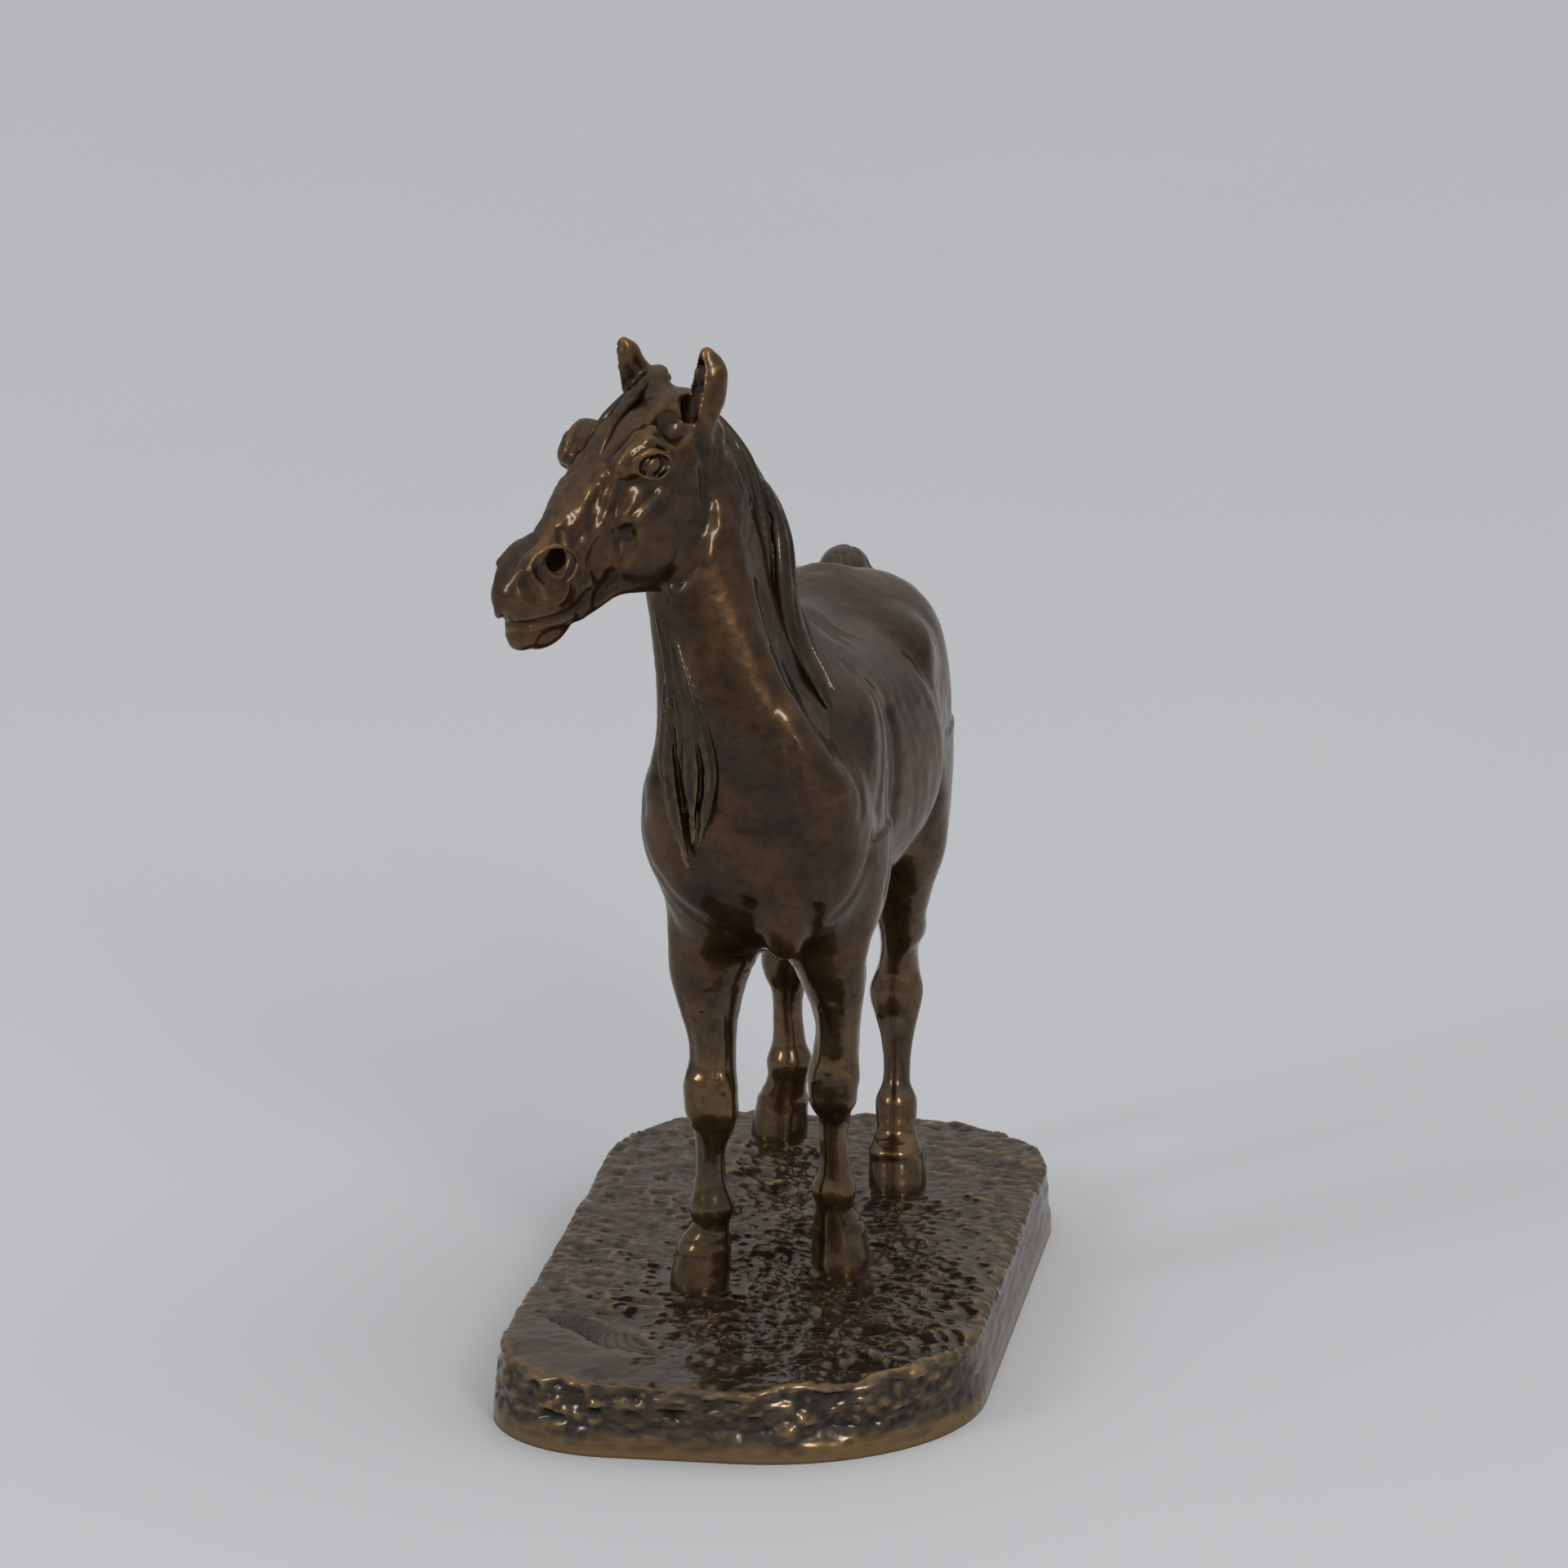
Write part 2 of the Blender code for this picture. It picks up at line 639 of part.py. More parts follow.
def build_neck_and_head(shared):
    neck = loft("neck_and_head", neck_rings(0.0))
    join(neck, shared["trunk_core"])
    cut(neck, shared["below"])
    join(neck, loft("head_skin", [head_ring(*row) for row in HEAD], True))
    tenon = loft("tenon", trunk_rings(TRUNK_WALL + FIT_GAP), True)
    join(tenon, loft("tenon_neck", neck_rings(TRUNK_WALL + FIT_GAP, NECK[:6]), True))
    cut(tenon, joint_block("above_tenon", True, 1.4 * MM))
    cut(tenon, joint_block("below_tenon", False, -TENON_DEPTH))
    join(neck, tenon)
    inner = 2 * TRUNK_WALL + FIT_GAP
    core = loft("neck_space", trunk_rings(inner), True)
    keep(core, joint_block("neck_space_top", False, 0.2 * MM))
    join(core, loft("neck_space_neck", neck_rings(inner * 0.88, NECK[:6]), True))
    cut(neck, core)
    for side, word in ((-1, "right"), (1, "left")):
        at = head_spot(45.0, side * 5.6, -2.6)
        outward = head_spot(47.2, side * 12.0, -1.6)
        cut(neck, rod(word + "_nostril", at, outward, 4.0 * MM, 12, True))
        eye_at = head_spot(16.0, side * 5.0, -5.0)
        eye_out = head_spot(16.2, side * 11.2, -4.2)
        join(neck, rod(word + "_eye", eye_at, eye_out, 5.0 * MM, 14, True))
    for word, _, _, drilled in neck_pin_lines():
        cut(neck, rod(word + "_tenon_drilled", *drilled, PIN + FIT_GAP, 12, True))
    join(neck, build_ear("right_ear", (1.0, -6.2, -1.0), (-1.6, -6.4, 9.2), 3.6))
    join(neck, build_ear("left_ear", (1.0, 6.2, -1.0), (-5.4, 7.8, 7.6), 3.8))
    finish(neck, PATINA, 0.32)
    return neck


# Legs and tail


def build_leg(name, rows):
    rings = []
    kept = leg_rows(rows, False)
    for index, row in enumerate(kept):
        rings.append(leg_ring(row, 18, FIT_GAP if index == 0 else 0.0))
    lowest = rings[-1]
    for p in lowest:
        p.z = BASE_HEIGHT + FIT_GAP
    leg = loft(name, rings)
    centre = joint_centre(rows)
    low = centre - Vector((0, 0, 3 * MM))
    join(leg, rod(name + "_dowel", low, centre + Vector((0, 0, LEG_DOWEL_LENGTH)), LEG_DOWEL, 20, True))
    _, _, drilled = pin_line(name, rows)
    cut(leg, rod(name + "_dowel_drilled", *drilled, PIN + FIT_GAP, 12, True))
    foot = hoof_centre(rows)
    top = foot + Vector((0, 0, STUD_IN_HOOF + FIT_GAP))
    cut(leg, rod(name + "_tapped", foot - Vector((0, 0, 2 * MM)), top, STUD + 2 * FIT_GAP, 16, True))
    finish(leg, PATINA, 0.30)
    return leg


def hoof_centre(rows):
    _, x, _, y, _ = rows[-1]
    centre = spot(x, y, GROUND)
    centre.z = BASE_HEIGHT + FIT_GAP
    return centre


def path_rings(rows, count):
    """Rings square to a path, the first number of each after its centre lying across x."""
    centres = [Vector(row[0]) for row in rows]
    rings = []
    for i, row in enumerate(rows):
        before = centres[max(i - 1, 0)]
        after = centres[min(i + 1, len(rows) - 1)]
        axis = (after - before).normalized()
        side = Vector((1, 0, 0))
        side = (side - axis * side.dot(axis)).normalized()
        back = axis.cross(side)
        rings.append(stretched(oval(centres[i], side, back, row[1], row[2], count)))
    return rings


def build_tail():
    tail = loft("tail", path_rings(TAIL, 16))
    cut(tail, loft("tail_seat", trunk_rings(-FIT_GAP), True))
    out, inward = tail_axis()
    dowel = rod("tail_dowel", out - inward * 3.4 * MM, out + inward * TAIL_DOWEL_LENGTH, TAIL_DOWEL, 20, True)
    join(tail, dowel)
    start, end = tail_pin_line()
    drilled = (start + Vector((26 * MM, 0, 0)), end - Vector((FIT_GAP, 0, 0)))
    cut(tail, rod("tail_dowel_drilled", *drilled, PIN + FIT_GAP, 12, True))
    finish(tail, PATINA, 0.34)
    return tail


# Mane and forelock, chased castings set on the neck


def mane_rings(rows, count=14):
    centres = [Vector(row[0]) for row in rows]
    rings = []
    for i, row in enumerate(rows):
        before = centres[max(i - 1, 0)]
        after = centres[min(i + 1, len(rows) - 1)]
        axis = (after - before).normalized()
        turn = math.radians(row[3])
        outward = Vector((math.sin(turn), -math.cos(turn), 0))
        outward = (outward - axis * outward.dot(axis)).normalized()
        broad = axis.cross(outward)
        wave = 1.0 + 0.08 * math.sin(1.7 * i)
        rings.append(stretched(oval(centres[i], broad, outward, row[1] * wave, row[2], count)))
    return rings


def build_mane(name, rows):
    mane = loft(name, mane_rings(rows))
    cut(mane, loft(name + "_neck_seat", neck_rings(-FIT_GAP), True))
    cut(mane, loft(name + "_trunk_seat", trunk_rings(-FIT_GAP), True))
    cut(mane, loft(name + "_head_seat", [head_ring(*row, 22, FIT_GAP) for row in HEAD], True))
    finish(mane, PATINA, 0.36)
    return mane


def build_forelock():
    forward, side, face = head_axes()
    rings = []
    for t, u, half, thick in FORELOCK:
        middle = Vector(HEAD_POLL) + forward * t + side * u + face * 0.6
        rings.append(stretched(oval(middle, side, face, half, thick, 14)))
    lock = loft("forelock", rings)
    cut(lock, loft("forelock_head_seat", [head_ring(*row, 22, FIT_GAP) for row in HEAD], True))
    cut(lock, loft("forelock_neck_seat", neck_rings(-FIT_GAP), True))
    finish(lock, PATINA, 0.36)
    return lock


# The terrace and what bolts the horse to it


def outline(inset, z, wobble, count=72):
    """The base's plan with its four different corners, moved in and roughened."""
    half_x = BASE_WIDTH / 2
    half_y = BASE_LENGTH / 2
    radii = BASE_CORNERS
    centres = (
        (-half_x + radii[0], -half_y + radii[0], radii[0], 180),
        (half_x - radii[1], -half_y + radii[1], radii[1], 270),
        (half_x - radii[2], half_y - radii[2], radii[2], 0),
        (-half_x + radii[3], half_y - radii[3], radii[3], 90),
    )
    ring = []
    each = count // 4
    for x, y, radius, start in centres:
        for i in range(each):
            turn = math.radians(start + 90 * i / (each - 1))
            rough = wobble * (math.sin(7 * turn + x * 90) + 0.6 * math.sin(17 * turn + y * 60))
            r = max(radius - inset + rough, 1 * MM)
            ring.append(Vector((x + r * math.cos(turn), y + r * math.sin(turn), z)))
    return ring


def build_base():
    top = BASE_HEIGHT
    wall = RIM_HEIGHT
    rings = [
        outline(0.0, 0.0, 0.0),
        outline(0.0, wall, 0.0),
        outline(0.6 * MM, wall + 0.8 * MM, 0.1 * MM),
        outline(0.8 * MM, top * 0.52, 0.25 * MM),
        outline(1.2 * MM, top * 0.76, 0.3 * MM),
        outline(2.2 * MM, top * 0.93, 0.25 * MM),
        outline(4.4 * MM, top, 0.2 * MM),
    ]
    base = loft("base_terrace", rings)
    ceiling = top - BASE_WALL
    inner = BASE_WALL
    space = loft(
        "base_space",
        [
            outline(inner, -2 * MM, 0.0),
            outline(inner, wall, 0.0),
            outline(inner + 2.2 * MM, ceiling - 2.6 * MM, 0.0),
            outline(inner + 6.0 * MM, ceiling, 0.0),
        ],
        True,
    )
    for name, rows in LEGS.items():
        foot = hoof_centre(rows)
        low = Vector((foot.x, foot.y, BOSS_BOTTOM))
        cut(space, rod(name + "_base_boss", low, Vector((foot.x, foot.y, top)), BOSS_WIDTH, 24, True))
    cut(base, space)
    for name, rows in LEGS.items():
        foot = hoof_centre(rows)
        low = Vector((foot.x, foot.y, -1 * MM))
        high = Vector((foot.x, foot.y, top + 2 * MM))
        cut(base, rod(name + "_base_hole", low, high, STUD + 2 * FIT_GAP, 16, True))
    finish(base, BASE_PATINA, 0.42)
    return base


def build_fastening(name, rows):
    """Stud, washer and nut for one hoof, stacked down from the boss with their gaps."""
    foot = hoof_centre(rows)
    word = name.replace("leg", "hoof")
    washer_top = BOSS_BOTTOM - FIT_GAP
    washer_bottom = washer_top - WASHER_THICKNESS
    nut_top = washer_bottom - FIT_GAP
    nut_bottom = nut_top - NUT_THICKNESS
    stud_bottom = nut_bottom - 1.0 * MM
    low = Vector((foot.x, foot.y, stud_bottom))
    high = Vector((foot.x, foot.y, foot.z + STUD_IN_HOOF))
    stud = rod(word + "_stud", low, high, STUD, 20)
    finish(stud, RAW_BRASS, 0.35)
    washer = rod(
        word + "_washer",
        Vector((foot.x, foot.y, washer_bottom)),
        Vector((foot.x, foot.y, washer_top)),
        WASHER_WIDTH,
        28,
    )
    finish(washer, STEEL, 0.4)
    across = NUT_ACROSS_FLATS / math.cos(math.pi / 6)
    nut = rod(word + "_nut", Vector((foot.x, foot.y, nut_bottom)), Vector((foot.x, foot.y, nut_top)), across, 6)
    nut.data.polygons.foreach_set("use_smooth", [False] * len(nut.data.polygons))
    finish(nut, RAW_BRASS, 0.38)
    for piece in (washer, nut):
        start = Vector((foot.x, foot.y, stud_bottom - 4 * MM))
        end = Vector((foot.x, foot.y, washer_top + 1.0 * MM))
        cut(piece, rod(piece.name + "_bore", start, end, STUD + 2 * FIT_GAP, 16, True))


def build_pins():
    for name, rows in LEGS.items():
        start, end, _ = pin_line(name, rows)
        finish(rod(name + "_pin", start, end, PIN - FIT_GAP / 2, 12), RAW_BRASS, 0.4)
    for word, outer, inner, _ in neck_pin_lines():
        finish(rod(word + "_neck_pin", outer, inner, PIN - FIT_GAP / 2, 12), RAW_BRASS, 0.4)
    start, end = tail_pin_line()
    finish(rod("tail_pin", start, end, PIN - FIT_GAP / 2, 12), RAW_BRASS, 0.4)
    for name, start, inward in core_plug_lines():
        plug = rod(name, start, start + inward * TRUNK_WALL * 0.9, PLUG - 2 * FIT_GAP, 20)
        finish(plug, PATINA, 0.36)


def main():
    shared = build_trunk_cutters()
    bosses = build_bosses()
    build_trunk(shared, bosses)
    build_neck_and_head(shared)
    for name, rows in LEGS.items():
        build_leg(name, rows)
        build_fastening(name, rows)
    build_tail()
    build_mane("mane_left", MANE_LEFT)
    build_mane("mane_right", MANE_RIGHT)
    build_forelock()
    build_base()
    build_pins()


main()
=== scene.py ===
import math

import bmesh
import bpy
import numpy as np
from mathutils import Euler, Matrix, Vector


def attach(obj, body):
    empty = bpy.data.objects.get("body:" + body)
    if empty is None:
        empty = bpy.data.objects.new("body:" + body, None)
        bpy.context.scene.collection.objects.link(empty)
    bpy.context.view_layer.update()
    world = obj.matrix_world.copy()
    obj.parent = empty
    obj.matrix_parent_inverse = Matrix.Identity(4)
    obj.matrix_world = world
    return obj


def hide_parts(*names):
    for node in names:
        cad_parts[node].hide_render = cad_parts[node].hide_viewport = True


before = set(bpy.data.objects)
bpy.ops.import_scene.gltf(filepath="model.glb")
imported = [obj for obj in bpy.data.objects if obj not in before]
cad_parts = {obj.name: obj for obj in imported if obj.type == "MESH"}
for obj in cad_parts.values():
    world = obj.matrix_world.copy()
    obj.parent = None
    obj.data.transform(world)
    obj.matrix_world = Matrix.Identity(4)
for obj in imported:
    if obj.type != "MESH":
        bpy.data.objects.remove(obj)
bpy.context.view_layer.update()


# The terrace: a hollow cast bronze base modelled in wax as trodden ground. Its top was
# worked with fingers and a spatula, its front broken up like rock, and its bottom rim
# filed straight and rubbed bright. It carries the horse on four bolted hooves.

MM = 0.001
GROUND = 14.5
# The colour turns lighter and glossier from the first of these heights down to the second, in finishes that
# give low colours.
TONE_SHIFT_TOP, TONE_SHIFT_BOTTOM = 92, 58
HALF_WIDTH = 46.0
HALF_LENGTH = 88.75
HOOVES = ((-12.7, -26), (12.9, -10), (17, 41), (-11.9, 73))
# A spade-shaped panel near the front right corner, sunk and combed across.
PANEL = ((-39.5, -50.5), (-33.0, -47.0), (-17.5, -61.5), (-12.5, -71.0), (-24.0, -68.5))


def srgb(code):
    """A hex colour as the linear colour that a shader takes."""
    parts = [int(code[i : i + 2], 16) / 255 for i in (1, 3, 5)]
    return [p / 12.92 if p <= 0.04045 else ((p + 0.055) / 1.055) ** 2.4 for p in parts] + [1.0]


def add(tree, kind, settings=None, links=None):
    """One node. A setting named as a socket sets that socket, and any other sets the node."""
    made = tree.nodes.new(kind)
    for key, value in (settings or {}).items():
        if isinstance(key, int) or key in made.inputs:
            made.inputs[key].default_value = value
        else:
            setattr(made, key, value)
    for key, source in (links or {}).items():
        tree.links.new(source, made.inputs[key])
    return made


def mixed(tree, kind, settings, inputs):
    """One node whose inputs are each a hex colour, a number or an output of another node."""
    links = {}
    for socket, value in inputs.items():
        if isinstance(value, bpy.types.NodeSocket):
            links[socket] = value
        else:
            settings[socket] = srgb(value) if isinstance(value, str) else value
    return add(tree, kind, settings, links).outputs


def blend(tree, share, first, second):
    return mixed(tree, "ShaderNodeMix", {"data_type": "RGBA"}, {0: share, 6: first, 7: second})[2]


def sums(tree, operation, *terms):
    return mixed(tree, "ShaderNodeMath", {"operation": operation}, dict(enumerate(terms)))[0]


def ramp(tree, value, low, high, start=0.0, end=1.0):
    """Runs from start to end as the value goes from low to high."""
    limits = {"From Min": low, "From Max": high, "To Min": start, "To Max": end}
    return add(tree, "ShaderNodeMapRange", limits, {"Value": value}).outputs[0]


def noise(tree, where, size, detail, roughness=0.5):
    """Clouds of about this size in millimetres."""
    settings = {"Scale": 1000 / size, "Detail": detail, "Roughness": roughness}
    return add(tree, "ShaderNodeTexNoise", settings, {"Vector": where}).outputs["Fac"]


def new_finish(name):
    made = bpy.data.materials.new(name)
    made.use_nodes = True
    made.node_tree.nodes.clear()
    return made, made.node_tree, add(made.node_tree, "ShaderNodeTexCoord").outputs["Object"]


def lumps(points, size, seed):
    """Smooth random lumps of about this size in millimetres, from -1 to 1, at each point."""
    table = np.random.default_rng(seed).uniform(-1, 1, (32, 32, 32))
    at = np.asarray(points, float) / size + 57.3
    cell = np.floor(at).astype(int)
    part = at - cell
    part = part * part * (3 - 2 * part)
    total = np.zeros(len(at))
    for corner in range(8):
        shift = np.array([corner & 1, corner >> 1 & 1, corner >> 2 & 1])
        i, j, k = ((cell + shift) % 32).T
        weight = np.prod(np.where(shift, part, 1 - part), axis=1)
        total += weight * table[i, j, k]
    return total


def mesh_of(name, points, faces):
    """A smooth-shaded object from points in millimetres and faces of three or four corners."""
    mesh = bpy.data.meshes.new(name)
    faces = np.asarray(faces, np.int32)
    count, sides = faces.shape
    mesh.vertices.add(len(points))
    mesh.vertices.foreach_set("co", (np.asarray(points) * MM).astype(np.float32).ravel())
    mesh.loops.add(count * sides)
    mesh.loops.foreach_set("vertex_index", faces.ravel())
    mesh.polygons.add(count)
    mesh.polygons.foreach_set("loop_start", np.arange(0, count * sides, sides, dtype=np.int32))
    mesh.polygons.foreach_set("use_smooth", np.ones(count, bool))
    mesh.update(calc_edges=True)
    obj = bpy.data.objects.new(name, mesh)
    bpy.context.scene.collection.objects.link(obj)
    return obj


def read_points(mesh):
    flat = np.empty(len(mesh.vertices) * 3, np.float32)
    mesh.vertices.foreach_get("co", flat)
    return flat.reshape(-1, 3).astype(float) / MM


def note_relief(obj, reach, extra=0.0):
    """Stores how far each point stands out from its surroundings, for wear with a painted highlight on
    raised points and for dark dirt in hollows. Extra is added where a part is rubbed brighter than its
    shape alone would have it."""
    mesh = obj.data
    points = read_points(mesh)
    ends = np.empty(len(mesh.edges) * 2, np.int32)
    mesh.edges.foreach_get("vertices", ends)
    first, second = ends[0::2], ends[1::2]
    count = np.bincount(first, minlength=len(points)) + np.bincount(second, minlength=len(points))
    calm = points.copy()
    for _ in range(reach):
        total = np.empty_like(calm)
        for axis in range(3):
            total[:, axis] = np.bincount(first, calm[second, axis], len(points))
            total[:, axis] += np.bincount(second, calm[first, axis], len(points))
        calm = 0.3 * calm + 0.7 * total / np.maximum(count, 1)[:, None]
    normals = np.empty(len(points) * 3, np.float32)
    mesh.vertex_normals.foreach_get("vector", normals)
    relief = ((points - calm) * normals.reshape(-1, 3)).sum(axis=1) + extra
    layer = mesh.attributes.new("relief", "FLOAT", "POINT")
    layer.data.foreach_set("value", relief.astype(np.float32))


def patinated_bronze(name, dark, brown, warm, gold, gloss, clouds, grain, relief_scale, low=None):
    """Cast bronze under a brown chemical patina and wax. The patina lies thick and nearly
    black in hollows, warm and thin over swellings, and ridges are rubbed back to old gold;
    that gold is partly a painted highlight. The wax gives it sharp pale highlights over a soft
    metal sheen. Low gives the brown, warm, gold and gloss that it turns to towards the ground."""
    made, tree, where = new_finish(name)
    low = low or (brown, warm, gold, gloss)
    height = add(tree, "ShaderNodeSeparateXYZ", links={"Vector": where}).outputs["Z"]
    down = ramp(tree, height, TONE_SHIFT_TOP * MM, TONE_SHIFT_BOTTOM * MM)
    # The three colours turn to the low ones towards the ground.
    worn = [blend(tree, down, upper, lower) for upper, lower in zip((brown, warm, gold), low)]
    mottle = noise(tree, where, 2.6, 4.0, 0.65)
    tone = ramp(tree, noise(tree, where, clouds, 5.0, 0.6), 0.36, 0.66)
    body = blend(tree, tone, worn[0], worn[1])
    body = blend(tree, ramp(tree, mottle, 0.46, 0.68, 0.0, 0.55), body, dark)
    relief = add(tree, "ShaderNodeAttribute", {"attribute_name": "relief"}).outputs["Fac"]
    uneven = sums(tree, "MULTIPLY_ADD", mottle, 0.5 * relief_scale, -0.25 * relief_scale)
    raised = sums(tree, "ADD", relief, uneven)
    # Raised points turn to the gold colour: partly rubbed bronze, partly a painted highlight on ridges and
    # rims.
    wear_and_painted_highlight = ramp(tree, raised, 0.22 * relief_scale, 1.3 * relief_scale, 0.0, 0.85)
    body = blend(tree, wear_and_painted_highlight, body, worn[2])
    sunk = ramp(tree, raised, -0.12 * relief_scale, -1.1 * relief_scale, 0.0, 0.9)
    body = blend(tree, sunk, body, dark)
    haze = ramp(tree, mottle, 0.3, 0.75, gloss, gloss + 0.17)
    rough = sums(tree, "MULTIPLY_ADD", sunk, 0.22, haze)
    rough = sums(tree, "MULTIPLY_ADD", down, low[3] - gloss, rough)
    tooth = add(
        tree,
        "ShaderNodeBump",
        {"Strength": 0.35, "Distance": grain * MM},
        {"Height": noise(tree, where, 0.7, 2.0)},
    )
    swell = add(
        tree,
        "ShaderNodeBump",
        {"Strength": 0.5, "Distance": 3 * grain * MM},
        {"Height": mottle, "Normal": tooth.outputs[0]},
    )
    shader = add(
        tree,
        "ShaderNodeBsdfPrincipled",
        {"Metallic": 0.86, "Specular Tint": srgb("#d2cabe"), "Coat Weight": 0.42, "Coat Roughness": 0.07},
        {"Base Color": body, "Roughness": rough, "Normal": swell.outputs[0]},
    )
    add(tree, "ShaderNodeOutputMaterial", links={"Surface": shader.outputs[0]})
    return made


def terrace_outline(count):
    """The terrace's plan from the middle of its front, round by its left side: a straight-sided
    slab with four corners of different radii."""
    corners = (
        (HALF_WIDTH, -HALF_LENGTH, 42, 270),
        (HALF_WIDTH, HALF_LENGTH, 31, 0),
        (-HALF_WIDTH, HALF_LENGTH, 32, 90),
        (-HALF_WIDTH, -HALF_LENGTH, 25, 180),
    )
    ring = [(0.0, -HALF_LENGTH)]
    for corner_x, corner_y, radius, start in corners:
        for turn in np.radians(start + np.linspace(0, 90, 15)):
            x = corner_x - math.copysign(radius, corner_x) + radius * math.cos(turn)
            y = corner_y - math.copysign(radius, corner_y) + radius * math.sin(turn)
            ring.append((x, y))
            if len(ring) == 31:
                ring.append((0.0, HALF_LENGTH))
    halves = np.array(ring[:32]), np.array(ring[31:] + ring[:1])
    even = []
    for half in halves:
        along = np.concatenate([[0], np.cumsum(np.linalg.norm(np.diff(half, axis=0), axis=1))])
        at = np.linspace(0, along[-1], count // 2 + 1)[:-1]
        even.append(np.stack([np.interp(at, along, half[:, k]) for k in range(2)], axis=1))
    return np.concatenate(even)


def panel_share(plan):
    """How far into the panel each point is, from 0 at its edge to 1."""
    inside = np.full(len(plan), 9.0)
    for (ax, ay), (bx, by) in zip(PANEL, PANEL[1:] + PANEL[:1]):
        across = (plan[:, 0] - ax) * (by - ay) - (plan[:, 1] - ay) * (bx - ax)
        inside = np.minimum(inside, across / math.hypot(bx - ax, by - ay))
    return np.clip(inside / 0.7, 0, 1)


def ground_height(plan):
    """Trodden ground: slow swells, finger-sized dabs and small pellets of wax. It is calmer
    near the front and level round each hoof."""
    finger = plan * (0.8, 1.0, 1.0)
    swell = 0.7 * lumps(plan, 21, 1) + 0.5 * lumps(plan, 9, 2)
    dab = 0.6 * lumps(finger, 4.2, 3) - 0.65 * np.abs(lumps(finger, 2.4, 4))
    pellet = 0.36 * lumps(finger, 1.25, 5)
    calm = np.clip((plan[:, 1] + 0.6 * plan[:, 0] + 92) / 34, 0.3, 1)
    foot = np.ones(len(plan))
    for x, y in HOOVES:
        away = np.hypot(plan[:, 0] - x, plan[:, 1] - y)
        foot = np.minimum(foot, np.clip((away - 5.5) / 5.0, 0.0, 1))
    sunk = panel_share(plan)
    hatch = 0.28 * np.sin((plan[:, 0] * 0.5 + plan[:, 1]) * 4.2 + 1.5 * lumps(plan, 5, 15))
    ground = foot * (swell + calm * (dab + pellet)) * (1 - 0.8 * sunk) + sunk * (hatch - 0.55)
    return np.clip((plan[:, 2] - 9.0) / 5.0, 0, 1) * (ground - 0.05)


def side_push(plan):
    """How far the side stands out. The front is broken into ledges and pits, the flanks are
    combed along, and the rim is only filed."""
    height = plan[:, 2]
    side = np.clip((height - 2.7) / 3.4, 0, 1) * np.clip((GROUND + 0.4 - height) / 2, 0, 1)
    front = np.clip((-plan[:, 1] - 46) / 26, 0, 1)
    ledge = 0.9 * lumps(plan * (0.8, 0.8, 1.9), 6.5, 6)
    ledge += 0.75 * lumps(plan * (0.7, 0.7, 1.5), 2.6, 7)
    ledge += 0.42 * lumps(plan * (0.8, 0.8, 1.4), 1.2, 12)
    comb = 0.35 * lumps(plan * (0.35, 0.16, 1.5), 1.6, 8)
    comb += 0.6 * lumps(plan * (0.5, 0.3, 1.2), 7, 9)
    rim = (height < 3.0) & (height > 0.4)
    filed = 0.08 * lumps(plan, 2.4, 10) + 0.08 * lumps(plan, 9, 11) - 0.12
    return side * (front * (ledge - 0.5) + (1 - 0.7 * front) * comb - 0.2) + rim * filed


def terrace_rings(outer, inward, middle, rings):
    """Rings of points up the rim and the side, over the edge and in to the crown."""
    # Each row: how far in, and the height.
    rows = [(0.0, height) for height in (0.0, 0.5, 1.2, 2.0, 2.6)] + [(0.1, 3.1)]
    for share in np.linspace(0.04, 1, 24):
        rows.append((0.1 + 0.9 * share, 3.3 + (GROUND - 4.9) * share))
    for turn in np.radians(np.linspace(12, 90, 8)):
        rows.append((1.0 + 2.2 * (1 - math.cos(turn)), GROUND - 1.6 + 1.6 * math.sin(turn)))
    count = len(outer)
    points = [
        np.column_stack([outer + inward * inset, np.full(count, height)])
        for inset, height in rows
    ]
    start = outer + inward * 3.2
    for share in np.linspace(0, 1, rings + 1)[1:-1] ** 0.96:
        points.append(np.column_stack([start + (middle - start) * share, np.full(count, GROUND)]))
    return points


def underside_rings(outer, inward, reach):
    """Rings of points up the inner wall and in over the ceiling, to their inset and height."""
    rows = (
        (2.2, 0.0), (3.4, 0.6), (3.5, 3.2), (5.6, 8.5), (7.4, 10.4), (9.6, 11.1), (20.0, 11.1), (32.0, 11.1)
    )
    rings = []
    for inset, height in rows:
        ring = outer + inward * np.minimum(inset, reach * 0.93)[:, None]
        rings.append(np.column_stack([ring, np.full(len(outer), height)]))
    return rings


def close_holes(obj):
    bm = bmesh.new()
    bm.from_mesh(obj.data)
    filled = bmesh.ops.holes_fill(bm, edges=[e for e in bm.edges if e.is_boundary], sides=0)
    bmesh.ops.triangulate(bm, faces=filled["faces"])
    bm.to_mesh(obj.data)
    bm.free()


